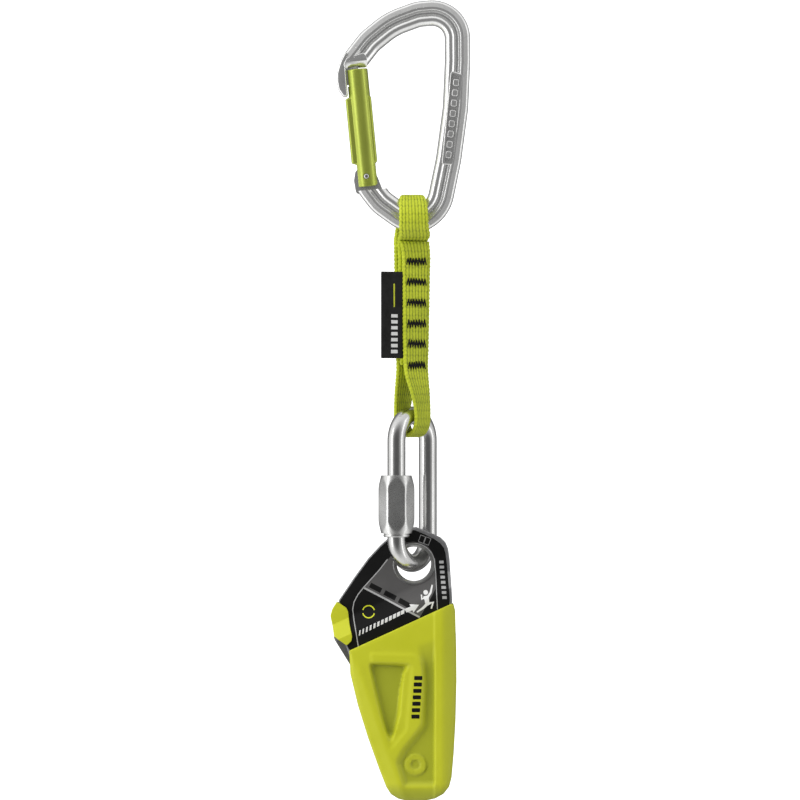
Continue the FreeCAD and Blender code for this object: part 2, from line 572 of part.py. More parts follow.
feature("back_cover_screws", Part.makeCompound([screw(x, z) for x, z in COVER_FIX]))
jf = [n for n in NODES if n.Label == "front_jaw"][0]
jb = [n for n in NODES if n.Label == "back_jaw"][0]
for x, z in JAW_FIX:
    jf.Shape = jf.Shape.cut(cyl_y(x, z, sr, lo_f - 0.1, lo_f + 3.0))
    jb.Shape = jb.Shape.cut(cyl_y(x, z, sr, lo_b - 3.0, lo_b + 0.1))
pins("front_jaw_rivets", JAW_FIX, sr, of_f, lo_f + 3.0)
pins("back_jaw_rivets", JAW_FIX, sr, lo_b - 3.0, of_b)
pins("front_spacer", [POST], 4.0, lo_f, y_in_f)
pins("back_spacer", [POST], 4.0, y_in_b, lo_b)

# ---------------------------------------------------------------- pull catch on the left edge
LC = D["latch_clear"]
lt = 1.5
yf, yk = y_out_f - LC, y_out_b + LC
TAB = [(-39.34, -247.59), (-37.75, -248.07), (-35.00, -250.04), (-34.31, -251.55), (-33.71, -256.62), (-32.51, -262.08), (-32.85, -263.93), (-34.87, -265.91), (-40.33, -262.08), (-40.98, -258.13), (-41.97, -253.31), (-41.24, -250.69)]
TAB_BACK = [(-39.34, -247.59), (-28.16, -248.37), (-28.16, -254.65), (-32.68, -256.11), (-33.97, -261.27), (-40.33, -261.48), (-40.98, -258.13), (-41.97, -253.31), (-41.24, -250.69)]
front_leaf = prism(TAB, yf - FL - lt - 0.4, MY, 0.6).common(slope_prism([(yf - lt, 70), (yf - lt, 12.9), (yf - lt - FL, 6.4), (yf - lt - FL, -40), (MY + 1, -40), (MY + 1, 70)]))
back_leaf = prism(TAB_BACK, MY, yk + FL + lt + 0.4, 0.6).common(slope_prism([(MY - 1, 70), (MY - 1, -40), (yk + lt + FL, -40), (yk + lt + FL, 6.4), (yk + lt, 12.9), (yk + lt, 70)]))
tab = front_leaf.fuse(back_leaf)
inside = prism([(-38.57, -243.21), (-38.31, -251.81), (-38.18, -258.26), (-46.44, -258.26), (-46.44, -269.01), (-24.08, -269.01), (-24.08, -243.21)], -30, 30)
slot_in = slope_prism([(yf, 70), (yf, 12.9), (yf - FL, 6.4), (yf - FL, -40), (yk + FL, -40), (yk + FL, 6.4), (yk, 12.9), (yk, 70)])
tab = tab.cut(inside.common(slot_in))
px_, pz_ = (-35.69, -251.38)
win = Part.makeBox(7.0, lt + 2.0, 2.3, V(px_ - 1.1, yk - 0.5, pz_ - 1.15))
tab = tab.cut(win)
nib = prism([(-37.41, -253.87), (-35.86, -253.87), (-35.86, -256.62), (-37.41, -256.62)], yf - 0.4, yf + LC + 1.0)
tab = tab.fuse(nib.common(slope_prism([(yf - 0.4, 70), (yf - 0.4, 8.6), (yf + 2.0, 8.6), (yf + 2.0, 70)]))).removeSplitter()
feature("latch_tab", tab)
notch = new_sketch(front_plate, "catch_notch", "XZ_Plane", poly([(-42.14, -253.61), (-35.52, -253.61), (-35.52, -256.88), (-42.14, -256.88)]), at_y(y_in_f + 1))
pocket(front_plate, "catch_notch_cut", notch, 40, both=True)
pins("latch_pin", [(px_, pz_)], 1.0, y_in_b + 0.1, yk + lt + 0.3)
drill(back_plate, "latch_pin_hole", [(px_, pz_)], 1.0, y_in_b - 1, PT + 2.5, False)
lsp = helix_spring(0.75, 0.14, 4.3, 9)
lsp.rotate(V(0, 0, 0), V(0, 1, 0), 90)
lsp.translate(V(px_ + 1.25, yk + lt / 2, pz_))
feature("latch_spring", lsp)

# ---------------------------------------------------------------- checks and export
doc.recompute()
problems = []
for obj in doc.Objects:
    if "Invalid" in obj.State or "Error" in obj.State:
        problems.append("%s: %s" % (obj.Label, obj.State))
for node in NODES:
    shape = node.Shape
    if shape.isNull() or not shape.isValid() or not shape.Solids or shape.Volume <= 0:
        problems.append("%s has no valid solid" % node.Label)
if problems:
    raise RuntimeError("; ".join(problems))
os.makedirs("parts", exist_ok=True)
for node in NODES:
    b = node.Shape.BoundBox
    print("%-20s solids %d volume %.1f  x %.1f..%.1f y %.1f..%.1f z %.1f..%.1f" % (node.Label, len(node.Shape.Solids), node.Shape.Volume, b.XMin, b.XMax, b.YMin, b.YMax, b.ZMin, b.ZMax))
    node.Shape.exportStep("parts/%s.step" % node.Label)
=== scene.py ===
import bpy, bmesh, math, random, json
import numpy as np
from mathutils import Vector, Matrix
from mathutils.geometry import delaunay_2d_cdt


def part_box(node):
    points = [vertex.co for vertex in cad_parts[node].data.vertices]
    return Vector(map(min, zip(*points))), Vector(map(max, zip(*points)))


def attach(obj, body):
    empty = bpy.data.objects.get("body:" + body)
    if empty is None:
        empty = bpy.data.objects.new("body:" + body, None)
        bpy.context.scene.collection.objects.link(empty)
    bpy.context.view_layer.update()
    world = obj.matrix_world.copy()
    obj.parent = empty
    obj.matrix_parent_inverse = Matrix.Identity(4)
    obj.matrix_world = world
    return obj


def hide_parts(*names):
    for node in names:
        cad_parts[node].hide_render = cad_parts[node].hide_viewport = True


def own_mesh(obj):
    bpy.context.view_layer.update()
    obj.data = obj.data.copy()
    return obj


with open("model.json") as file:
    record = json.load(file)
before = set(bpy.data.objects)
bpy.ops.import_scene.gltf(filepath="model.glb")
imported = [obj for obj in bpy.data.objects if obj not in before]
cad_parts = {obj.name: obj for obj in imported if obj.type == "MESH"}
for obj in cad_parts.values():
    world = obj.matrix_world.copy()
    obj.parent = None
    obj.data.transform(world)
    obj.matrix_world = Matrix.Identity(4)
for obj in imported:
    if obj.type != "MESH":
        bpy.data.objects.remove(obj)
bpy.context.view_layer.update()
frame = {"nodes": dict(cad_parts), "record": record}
random.seed(7)
MM = 0.001
scene = bpy.context.scene

# ------------------------------------------------------------------ placement facts: plate and cover boxes read from the frame, the other numbers given
REC = frame["record"]
NODES = frame["nodes"]


def node_box(name):
    lo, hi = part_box(name)
    return [v * 1000 for v in lo], [v * 1000 for v in hi]


fp_lo, fp_hi = node_box("front_plate")
bp_lo, bp_hi = node_box("back_plate")
fc_lo, fc_hi = node_box("front_cover")
bc_lo, bc_hi = node_box("back_cover")
MID_Y = (fp_hi[1] + bp_lo[1]) / 2
PG = bp_lo[1] - fp_hi[1]
PT = 2.2
FL = (fp_hi[1] - fp_lo[1]) - PT
HX, HZ = -6.05, -231.12
SLOPE = math.radians(24.6)
SO = (-15.74, -259.85)
ZT, ZB, SX = -82.7, -167.3, -6.8
YAWL = math.radians(52.15)
U = Vector((math.cos(YAWL), math.sin(YAWL), 0))


def slope_d(x, z):
    return -(x - SO[0]) * math.sin(SLOPE) + (z - SO[1]) * math.cos(SLOPE)


# ------------------------------------------------------------------ mesh helpers (millimetres in, metres out)
def mesh_object(name, verts, faces, smooth=True, mats=(), uvs=None, mat_index=None):
    me = bpy.data.meshes.new(name)
    me.from_pydata([(v[0] * MM, v[1] * MM, v[2] * MM) for v in verts], [], faces)
    me.validate()
    ob = bpy.data.objects.new(name, me)
    scene.collection.objects.link(ob)
    for m in mats:
        me.materials.append(m)
    if smooth:
        me.polygons.foreach_set("use_smooth", [True] * len(me.polygons))
    if uvs is not None:
        layer = me.uv_layers.new(name="UVMap")
        loops = np.zeros(len(me.loops), dtype=np.int32)
        me.loops.foreach_get("vertex_index", loops)
        layer.data.foreach_set("uv", np.array(uvs, dtype=np.float32)[loops].ravel())
    if mat_index is not None:
        me.polygons.foreach_set("material_index", mat_index)
    me.update()
    return ob


def fix_normals(ob):
    bm = bmesh.new()
    bm.from_mesh(ob.data)
    bmesh.ops.recalc_face_normals(bm, faces=bm.faces)
    bm.to_mesh(ob.data)
    bm.free()
    return ob


def loft_mesh(name, rings, closed=False, caps=True, mats=(), uvs=None, smooth=True):
    """rings: list of rings of equal length, each a list of points; quads between them."""
    n, k = len(rings), len(rings[0])
    verts = [p for ring in rings for p in ring]
    faces = []
    last = n if closed else n - 1
    for i in range(last):
        a, b = i * k, ((i + 1) % n) * k
        for j in range(k):
            j2 = (j + 1) % k
            faces.append((a + j, a + j2, b + j2, b + j))
    if caps and not closed:
        faces.append(tuple(reversed(range(k))))
        faces.append(tuple(range((n - 1) * k, n * k)))
    ob = mesh_object(name, verts, faces, smooth, mats, uvs)
    return fix_normals(ob)


def apply_modifiers(ob):
    dg = bpy.context.evaluated_depsgraph_get()
    ev = ob.evaluated_get(dg)
    me = bpy.data.meshes.new_from_object(ev)
    old = ob.data
    ob.modifiers.clear()
    ob.data = me
    bpy.data.meshes.remove(old)
    return ob


def boolean(ob, cutter, op="DIFFERENCE", drop=True):
    m = ob.modifiers.new("b", "BOOLEAN")
    m.operation = op
    m.solver = "EXACT"
    m.object = cutter
    bpy.context.view_layer.update()
    apply_modifiers(ob)
    if drop:
        bpy.data.objects.remove(cutter, do_unlink=True)
    return ob


def box_mesh(name, lo, hi, matrix=None):
    v = [(x, y, z) for x in (lo[0], hi[0]) for y in (lo[1], hi[1]) for z in (lo[2], hi[2])]
    if matrix is not None:
        v = [tuple(matrix @ Vector(p)) for p in v]
    f = [(0, 1, 3, 2), (4, 6, 7, 5), (0, 4, 5, 1), (2, 3, 7, 6), (0, 2, 6, 4), (1, 5, 7, 3)]
    return fix_normals(mesh_object(name, v, f, smooth=False))


def join(obs, name):
    for o in bpy.context.selected_objects:
        o.select_set(False)
    for o in obs:
        o.select_set(True)
    bpy.context.view_layer.objects.active = obs[0]
    bpy.ops.object.join()
    obs[0].name = name
    return obs[0]


def smooth_by_angle(ob, deg=35):
    """Smooth shading with sharp edges kept where faces meet at more than deg."""
    bm = bmesh.new()
    bm.from_mesh(ob.data)
    for f in bm.faces:
        f.smooth = True
    for e in bm.edges:
        e.smooth = not (len(e.link_faces) == 2 and e.calc_face_angle(0) > math.radians(deg))
    bm.to_mesh(ob.data)
    bm.free()
    return ob


def round_outline(points, radii, step=0.5):
    """Closed outline with rounded corners, as dense points."""
    n = len(points)
    P = [Vector((p[0], p[1])) for p in points]
    out = []
    for i in range(n):
        a, b, c = P[i - 1], P[i], P[(i + 1) % n]
        r = radii[i] if isinstance(radii, (list, tuple)) else radii
        d1, d2 = (a - b).normalized(), (c - b).normalized()
        ang = d1.angle(d2)
        if r <= 0 or ang > math.radians(178):
            out.append(b)
            continue
        t = min(r / math.tan(ang / 2), 0.48 * (a - b).length, 0.48 * (c - b).length)
        r = t * math.tan(ang / 2)
        bis = (d1 + d2).normalized()
        cen = b + bis * (r / math.sin(ang / 2))
        p1, p2 = b + d1 * t, b + d2 * t
        a0 = math.atan2(p1.y - cen.y, p1.x - cen.x)
        a1 = math.atan2(p2.y - cen.y, p2.x - cen.x)
        d = (a1 - a0 + math.pi) % (2 * math.pi) - math.pi
        m = max(2, int(abs(d) * r / (step * 0.5)) + 1)
        for q in range(m + 1):
            t_ = a0 + d * q / m
            out.append(Vector((cen.x + r * math.cos(t_), cen.y + r * math.sin(t_))))
    dense = []
    for i in range(len(out)):
        a, b = out[i], out[(i + 1) % len(out)]
        L = (b - a).length
        if L < 1e-4:
            continue
        m = max(1, int(math.ceil(L / step)))
        for q in range(m):
            dense.append(a + (b - a) * (q / m))
    clean = []
    for p in dense:
        if not clean or (p - clean[-1]).length > step * 0.25:
            clean.append(p)
    area = sum(clean[i - 1].x * p.y - p.x * clean[i - 1].y for i, p in enumerate(clean))
    if area < 0:
        clean.reverse()
    return clean


def poly_distance(px, pz, outline):
    """Distance to the outline, positive inside, for arrays of points."""
    A = np.array([(p[0], p[1]) for p in outline])
    B = np.roll(A, -1, axis=0)
    px, pz = np.asarray(px, float).ravel(), np.asarray(pz, float).ravel()
    best = np.full(px.shape, 1e9)
    inside = np.zeros(px.shape, bool)
    for (ax, az), (bx, bz) in zip(A, B):
        ex, ez = bx - ax, bz - az
        L = ex * ex + ez * ez + 1e-12
        t = np.clip(((px - ax) * ex + (pz - az) * ez) / L, 0, 1)
        d = (px - ax - t * ex) ** 2 + (pz - az - t * ez) ** 2
        best = np.minimum(best, d)
        cond = ((az > pz) != (bz > pz))
        with np.errstate(divide="ignore", invalid="ignore"):
            xx = ax + (pz - az) * ex / (ez if ez != 0 else 1e-12)
        inside ^= cond & (px < xx)
    return np.where(inside, 1, -1) * np.sqrt(best)


def sstep(a, b, x):
    t = np.clip((np.asarray(x, float) - a) / (b - a), 0, 1)
    return t * t * (3 - 2 * t)


def inset_loops(outline, dists):
    """Inward copies of a counter-clockwise outline at small distances."""
    n = len(outline)
    loops = []
    for dd in dists:
        loop = []
        for i in range(n):
            a, b, c = outline[i - 1], outline[i], outline[(i + 1) % n]
            t = (c - a).normalized()
            nrm = Vector((-t.y, t.x))
            loop.append(b + nrm * dd)
        loops.append(loop)
    return loops


def patch(name, outline, height, spacing=0.8, loops=(), holes=(), mats=(), prints=()):
    """Triangulated sheet over a 2D outline in (x, z), raised to y = height(x, z, distance inside)."""
    pts, edges = [], []

    def add_loop(loop, constrain=True):
        s0 = len(pts)
        pts.extend([Vector((p[0], p[1])) for p in loop])
        if constrain:
            for i in range(len(loop)):
                edges.append((s0 + i, s0 + (i + 1) % len(loop)))

    add_loop(outline)
    arr = np.array([(p[0], p[1]) for p in outline])
    for lp in inset_loops(outline, loops):
        la = np.array([(p.x, p.y) for p in lp])
        dl = poly_distance(la[:, 0], la[:, 1], outline)
        want = loops[0] * 0.5
        keep = [p for p, dv in zip(lp, dl) if dv > want]
        pts.extend(keep)
    for h in holes:
        add_loop(h)
    for pr, _ in prints:
        add_loop(pr)
    x0, z0 = arr.min(0)
    x1, z1 = arr.max(0)
    gx, gz = np.meshgrid(np.arange(x0, x1, spacing), np.arange(z0, z1, spacing))
    gx = gx + (np.arange(gx.shape[0]) % 2)[:, None] * spacing * 0.5
    gx, gz = gx.ravel(), gz.ravel()
    dd = poly_distance(gx, gz, outline)
    ok = dd > (max(loops) if loops else 0) + spacing * 0.6
    for h in holes:
        ok &= poly_distance(gx, gz, h) < -spacing * 0.45
    pts.extend([Vector((a, b)) for a, b in zip(gx[ok], gz[ok])])
    vs, es, fs, ov, oe, of = delaunay_2d_cdt(pts, edges, [], 0, 1e-5)
    va = np.array([(v.x, v.y) for v in vs])
    cen = np.array([[(va[f[0]][0] + va[f[1]][0] + va[f[2]][0]) / 3, (va[f[0]][1] + va[f[1]][1] + va[f[2]][1]) / 3] for f in fs])
    keep = poly_distance(cen[:, 0], cen[:, 1], outline) > 0
    for h in holes:
        keep &= poly_distance(cen[:, 0], cen[:, 1], h) < 0
    faces = [tuple(f) for f, k in zip(fs, keep) if k]
    dv = poly_distance(va[:, 0], va[:, 1], outline)
    y = height(va[:, 0], va[:, 1], np.maximum(dv, 0))
    verts = [(a[0], yy, a[1]) for a, yy in zip(va, y)]
    index = None
    if prints:
        fc = np.array([(va[list(f)].mean(0)) for f in faces])
        index = np.zeros(len(faces), np.int32)
        for pr, mi in prints:
            pa = np.array([(p[0], p[1]) for p in pr])
            lo_, hi_ = pa.min(0), pa.max(0)
            near = np.where((fc[:, 0] > lo_[0]) & (fc[:, 0] < hi_[0]) & (fc[:, 1] > lo_[1]) & (fc[:, 1] < hi_[1]))[0]
            if len(near):
                hit = near[poly_distance(fc[near, 0], fc[near, 1], pr) > 0]
                index[hit] = mi
    ob = mesh_object(name, verts, faces, True, mats)
    if index is not None:
        ob.data.polygons.foreach_set("material_index", index)
    bm = bmesh.new()
    bm.from_mesh(ob.data)
    loose = [v for v in bm.verts if not v.link_faces]
    bmesh.ops.delete(bm, geom=loose, context="VERTS")
    bm.to_mesh(ob.data)
    bm.free()
    return ob


def close_back(ob, back):
    """Turn an open sheet into a closed solid: every boundary edge is walled back to y = back(x, z), and a copy closes it."""
    bm = bmesh.new()
    bm.from_mesh(ob.data)
    faces = list(bm.faces)
    ret = bmesh.ops.duplicate(bm, geom=bm.verts[:] + bm.edges[:] + bm.faces[:])
    vmap = ret["vert_map"]
    for g in ret["geom"]:
        if isinstance(g, bmesh.types.BMFace):
            g.material_index = 0
    pairs = {}
    for k, v in vmap.items():
        pairs[k] = v
    orig = [v for f in faces for v in f.verts]
    orig = list(dict.fromkeys(orig))
    for v in orig:
        w = pairs[v]
        w.co.y = back(v.co.x / MM, v.co.z / MM) * MM
    for e in [e for e in bm.edges if len(e.link_faces) == 1 and e.verts[0] in pairs and e.verts[1] in pairs and e.verts[0] in set(orig)]:
        a, b = e.verts
        try:
            bm.faces.new((a, b, pairs[b], pairs[a]))
        except ValueError:
            pass
    bmesh.ops.recalc_face_normals(bm, faces=bm.faces)
    bm.to_mesh(ob.data)
    bm.free()
    return ob


# ------------------------------------------------------------------ materials
def new_mat(name):
    m = bpy.data.materials.new(name)
    m.use_nodes = True
    nt = m.node_tree
    for n in list(nt.nodes):
        nt.nodes.remove(n)
    out = nt.nodes.new("ShaderNodeOutputMaterial")
    bsdf = nt.nodes.new("ShaderNodeBsdfPrincipled")
    nt.links.new(bsdf.outputs[0], out.inputs[0])
    return m, nt, bsdf


def N(nt, kind, **kw):
    n = nt.nodes.new(kind)
    for k, v in kw.items():
        if k.startswith("i_"):
            n.inputs[k[2:].replace("_", " ")].default_value = v
        else:
            setattr(n, k, v)
    return n


def mapping(nt, scale=(1, 1, 1), rot=(0, 0, 0), coord="Object"):
    tc = N(nt, "ShaderNodeTexCoord")
    mp = N(nt, "ShaderNodeMapping")
    mp.inputs["Scale"].default_value = scale
    mp.inputs["Rotation"].default_value = rot
    nt.links.new(tc.outputs[coord], mp.inputs[0])
    return mp


def noise(nt, mp, scale, detail=6, rough=0.6):
    n = N(nt, "ShaderNodeTexNoise")
    n.inputs["Scale"].default_value = scale
    n.inputs["Detail"].default_value = detail
    n.inputs["Roughness"].default_value = rough
    nt.links.new(mp.outputs[0], n.inputs["Vector"])
    return n


def ramp(nt, src, stops):
    r = N(nt, "ShaderNodeValToRGB")
    el = r.color_ramp.elements
    while len(el) < len(stops):
        el.new(0.5)
    for e, (p, c) in zip(el, stops):
        e.position = p
        e.color = c if len(c) == 4 else (c[0], c[1], c[2], 1)
    nt.links.new(src, r.inputs[0])
    return r


def bump(nt, bsdf, src, strength=0.2, dist=0.0001, prev=None):
    b = N(nt, "ShaderNodeBump")
    b.inputs["Strength"].default_value = strength
    b.inputs["Distance"].default_value = dist
    nt.links.new(src, b.inputs["Height"])
    if prev is not None:
        nt.links.new(prev.outputs[0], b.inputs["Normal"])
    nt.links.new(b.outputs[0], bsdf.inputs["Normal"])
    return b


def metal(name, base, rough=(0.18, 0.32), grain=(1, 1, 1), gscale=900, spread=0.08, bstr=0.15, scratch=0.35):
    m, nt, b = new_mat(name)
    b.inputs["Metallic"].default_value = 1.0
    mp = mapping(nt, grain)
    n1 = noise(nt, mp, gscale, 8, 0.65)
    mp2 = mapping(nt, (1, 1, 1))
    n2 = noise(nt, mp2, 90, 4, 0.5)
    lo = tuple(c * (1 - spread) for c in base)
    hi = tuple(min(1, c * (1 + spread)) for c in base)
    r = ramp(nt, n2.outputs[0], [(0.3, lo), (0.7, hi)])
    vor = N(nt, "ShaderNodeTexVoronoi", feature="DISTANCE_TO_EDGE")
    vor.inputs["Scale"].default_value = 260
    mp3 = mapping(nt, (1, 0.12, 0.35), (0.3, 0.5, 0.2))
    nt.links.new(mp3.outputs[0], vor.inputs["Vector"])
    sc = ramp(nt, vor.outputs[0], [(0.0, (1 - scratch,) * 3), (0.035, (1, 1, 1))])
    mix = N(nt, "ShaderNodeMix", data_type="RGBA", blend_type="MULTIPLY")
    mix.inputs[0].default_value = 0.25
    nt.links.new(r.outputs[0], mix.inputs[6])
    nt.links.new(sc.outputs[0], mix.inputs[7])
    nt.links.new(mix.outputs[2], b.inputs["Base Color"])
    rr = N(nt, "ShaderNodeMapRange")
    rr.inputs["To Min"].default_value = rough[0]
    rr.inputs["To Max"].default_value = rough[1]
    nt.links.new(n1.outputs[0], rr.inputs[0])
    nt.links.new(rr.outputs[0], b.inputs["Roughness"])
    bump(nt, b, n1.outputs[0], bstr, 0.00003)
    return m


M_ALU = metal("aluminium_satin", (0.965, 0.965, 0.95), (0.17, 0.27), (1, 1, 1), 1400, 0.05, 0.16)
for n_ in M_ALU.node_tree.nodes:
    if n_.type == "BSDF_PRINCIPLED":
        n_.inputs["Metallic"].default_value = 0.87
# a rougher, darker copy of the satin aluminium for the grooves: the roughness is the real tumbled finish, the darker
# colour is painted shade; no piece uses it
M_ALU_GROOVE_SHADED = metal("aluminium_groove_shaded", (0.46, 0.47, 0.48), (0.3, 0.45), (1, 1, 1), 1400, 0.08, 0.3)
M_STEEL = metal("steel_polished", (0.70, 0.70, 0.69), (0.15, 0.25), (1, 1, 0.2), 900, 0.05, 0.14)
M_NUT = metal("steel_nut", (0.80, 0.80, 0.785), (0.18, 0.40), (1, 1, 1), 2300, 0.22, 1.0)
M_BRUSHED = metal("steel_brushed", (0.62, 0.62, 0.61), (0.22, 0.4), (1, 1, 0.08), 900, 0.08, 0.3)
M_JAW = metal("steel_jaw", (0.60, 0.60, 0.57), (0.16, 0.34), (0.1, 1, 1), 800, 0.1, 0.3)
M_EDGE = metal("plate_bare_edge", (0.46, 0.46, 0.47), (0.42, 0.58), (1, 1, 1), 1500, 0.06, 0.35)


def anodised():
    m = metal("green_anodised", (0.48, 0.56, 0.085), (0.24, 0.34), (1, 1, 0.08), 1100, 0.06, 0.14, 0.2)
    b = [n for n in m.node_tree.nodes if n.type == "BSDF_PRINCIPLED"][0]
    b.inputs["Metallic"].default_value = 0.66
    b.inputs["Coat Weight"].default_value = 0.25
    b.inputs["Coat Roughness"].default_value = 0.14
    return m


M_GATE = anodised()


def webbing():
    m, nt, b = new_mat("green_webbing")
    tc = N(nt, "ShaderNodeTexCoord")
    sep = N(nt, "ShaderNodeSeparateXYZ")
    nt.links.new(tc.outputs["UV"], sep.inputs[0])

    def wave(u_, v_, phase=0.0):
        a1 = N(nt, "ShaderNodeMath", operation="MULTIPLY_ADD")
        a1.inputs[1].default_value = u_
        a1.inputs[2].default_value = phase
        nt.links.new(sep.outputs[0], a1.inputs[0])
        a2 = N(nt, "ShaderNodeMath", operation="MULTIPLY_ADD")
        a2.inputs[1].default_value = v_
        nt.links.new(sep.outputs[1], a2.inputs[0])
        nt.links.new(a1.outputs[0], a2.inputs[2])
        si = N(nt, "ShaderNodeMath", operation="SINE")
        nt.links.new(a2.outputs[0], si.inputs[0])
        return si

    # yarn filaments: u is millimetres across the strap, v millimetres along it
    fil = wave(2 * math.pi / 0.30, 2 * math.pi / 1.9)
    fil2 = wave(-2 * math.pi / 0.30, 2 * math.pi / 1.9)
    mx_ = N(nt, "ShaderNodeMath", operation="MAXIMUM")
    nt.links.new(fil.outputs[0], mx_.inputs[0])
    nt.links.new(fil2.outputs[0], mx_.inputs[1])
    # the per-vertex attribute paints shade into the weave valleys, on top of the yarn's own fine tone noise
    att = N(nt, "ShaderNodeAttribute", attribute_name="painted_shade")
    mp = mapping(nt, (1, 1, 1))
    n1 = noise(nt, mp, 900, 6, 0.7)
    n2 = noise(nt, mp, 75, 4, 0.6)
    ad = N(nt, "ShaderNodeMath", operation="MULTIPLY_ADD")
    ad.inputs[1].default_value = 0.55
    nt.links.new(n1.outputs[0], ad.inputs[0])
    nt.links.new(att.outputs["Fac"], ad.inputs[2])
    r = ramp(nt, ad.outputs[0], [(0.18, (0.66, 0.735, 0.032)), (0.50, (0.57, 0.65, 0.026)), (0.85, (0.38, 0.45, 0.014)), (1.0, (0.22, 0.27, 0.008))])
    r2 = ramp(nt, n2.outputs[0], [(0.35, (0.80, 0.82, 0.74)), (0.65, (1, 1, 1))])
    mx = N(nt, "ShaderNodeMix", data_type="RGBA", blend_type="MULTIPLY")
    mx.inputs[0].default_value = 1.0
    nt.links.new(r.outputs[0], mx.inputs[6])
    nt.links.new(r2.outputs[0], mx.inputs[7])
    nt.links.new(mx.outputs[2], b.inputs["Base Color"])
    b.inputs["Roughness"].default_value = 0.58
    b.inputs["Sheen Weight"].default_value = 0.15
    b.inputs["Sheen Roughness"].default_value = 0.4
    b.inputs["Sheen Tint"].default_value = (0.85, 0.9, 0.35, 1)
    b1 = bump(nt, b, mx_.outputs[0], 0.5, 0.00006)
    bump(nt, b, n1.outputs[0], 0.4, 0.00006, b1)
    return m


M_WEB = webbing()


def quiet(m, level):
    for n_ in m.node_tree.nodes:
        if n_.type == "BSDF_PRINCIPLED":
            n_.inputs["Specular IOR Level"].default_value = level
    return m


def fabric_dark(name, base, hi, scale=1500):
    m, nt, b = new_mat(name)
    mp = mapping(nt, (1, 1, 1))
    w1 = N(nt, "ShaderNodeTexWave", wave_type="BANDS", bands_direction="Z")
    w1.inputs["Scale"].default_value = scale
    w1.inputs["Distortion"].default_value = 0.6
    nt.links.new(mp.outputs[0], w1.inputs["Vector"])
    w2 = N(nt, "ShaderNodeTexWave", wave_type="BANDS", bands_direction="X")
    w2.inputs["Scale"].default_value = scale
    nt.links.new(mp.outputs[0], w2.inputs["Vector"])
    mu = N(nt, "ShaderNodeMath", operation="ADD")
    nt.links.new(w1.outputs["Fac"], mu.inputs[0])
    nt.links.new(w2.outputs["Fac"], mu.inputs[1])
    n = noise(nt, mp, 300, 5, 0.6)
    r = ramp(nt, n.outputs[0], [(0.3, base), (0.75, hi)])
    nt.links.new(r.outputs[0], b.inputs["Base Color"])
    b.inputs["Roughness"].default_value = 0.75
    b.inputs["Sheen Weight"].default_value = 0.03
    b.inputs["Specular IOR Level"].default_value = 0.25
    b1 = bump(nt, b, mu.outputs[0], 0.5, 0.00005)
    bump(nt, b, n.outputs[0], 0.3, 0.00006, b1)
    return m


M_LINE2 = fabric_dark("white_thread", (0.72, 0.72, 0.71), (0.85, 0.85, 0.84), 2600)
M_WEB2 = fabric_dark("green_thread", (0.50, 0.54, 0.03), (0.66, 0.70, 0.05), 2600)
M_THREAD = fabric_dark("black_thread", (0.004, 0.004, 0.004), (0.014, 0.014, 0.012), 2600)
M_LABEL = fabric_dark("black_label", (0.007, 0.007, 0.007), (0.019, 0.019, 0.019), 1500)
M_LABEL_LINE = fabric_dark("label_line", (0.30, 0.31, 0.28), (0.52, 0.53, 0.5), 1500)


def plastic(name, lo, hi, rough=(0.34, 0.46), coat=0.12, grain=2600, bstr=0.12, sss=0.06, deep=None):
    m, nt, b = new_mat(name)
    mp = mapping(nt, (1, 1, 1))
    n1 = noise(nt, mp, grain, 4, 0.6)
    n2 = noise(nt, mp, 45, 5, 0.55)
    r = ramp(nt, n2.outputs[0], [(0.3, lo), (0.7, hi)])
    col = r.outputs[0]
    # painted shade: where the per-vertex attribute is high, the colour is mixed towards the darker deep colour
    if deep is not None:
        att = N(nt, "ShaderNodeAttribute", attribute_name="painted_shade")
        mx = N(nt, "ShaderNodeMix", data_type="RGBA")
        nt.links.new(att.outputs["Fac"], mx.inputs[0])
        nt.links.new(col, mx.inputs[6])
        mx.inputs[7].default_value = (*deep, 1)
        col = mx.outputs[2]
    nt.links.new(col, b.inputs["Base Color"])
    mr = N(nt, "ShaderNodeMapRange")
    mr.inputs["To Min"].default_value = rough[0]
    mr.inputs["To Max"].default_value = rough[1]
    n3 = noise(nt, mp, 220, 6, 0.7)
    nt.links.new(n3.outputs[0], mr.inputs[0])
    nt.links.new(mr.outputs[0], b.inputs["Roughness"])
    b.inputs["Coat Weight"].default_value = coat
    b.inputs["Coat Roughness"].default_value = 0.3
    b.inputs["Subsurface Weight"].default_value = sss
    b.inputs["Subsurface Radius"].default_value = (0.002, 0.002, 0.0006)
    bump(nt, b, n1.outputs[0], bstr, 0.00003)
    return m


# the last colour of the green moulding is painted shade, mixed into its hollows, foot and right side
M_COVER = plastic("green_moulding", (0.530, 0.556, 0.020), (0.575, 0.600, 0.030), (0.40, 0.52), 0.03, 2600, 0.16, 0.05, (0.385, 0.418, 0.029))
M_BLACK = plastic("black_print", (0.005, 0.005, 0.005), (0.011, 0.011, 0.011), (0.5, 0.62), 0.0, 3200, 0.35, 0.0)
quiet(M_BLACK, 0.14)
M_GREY = plastic("grey_print", (0.085, 0.083, 0.082), (0.112, 0.109, 0.108), (0.5, 0.6), 0.0, 3200, 0.2, 0.0)
quiet(M_GREY, 0.10)
M_LINE = plastic("line_print", (0.36, 0.36, 0.36), (0.46, 0.46, 0.46), (0.5, 0.6), 0.0, 3200, 0.2, 0.0)
quiet(M_LINE, 0.22)
M_WHITE = plastic("white_print", (0.72, 0.72, 0.71), (0.82, 0.82, 0.81), (0.5, 0.6), 0.0, 3200, 0.2, 0.0)
quiet(M_WHITE, 0.22)
M_LIME = plastic("green_print", (0.60, 0.64, 0.03), (0.66, 0.70, 0.04), (0.5, 0.6), 0.0, 3200, 0.2, 0.0)
quiet(M_LIME, 0.22)
quiet(M_COVER, 0.34)

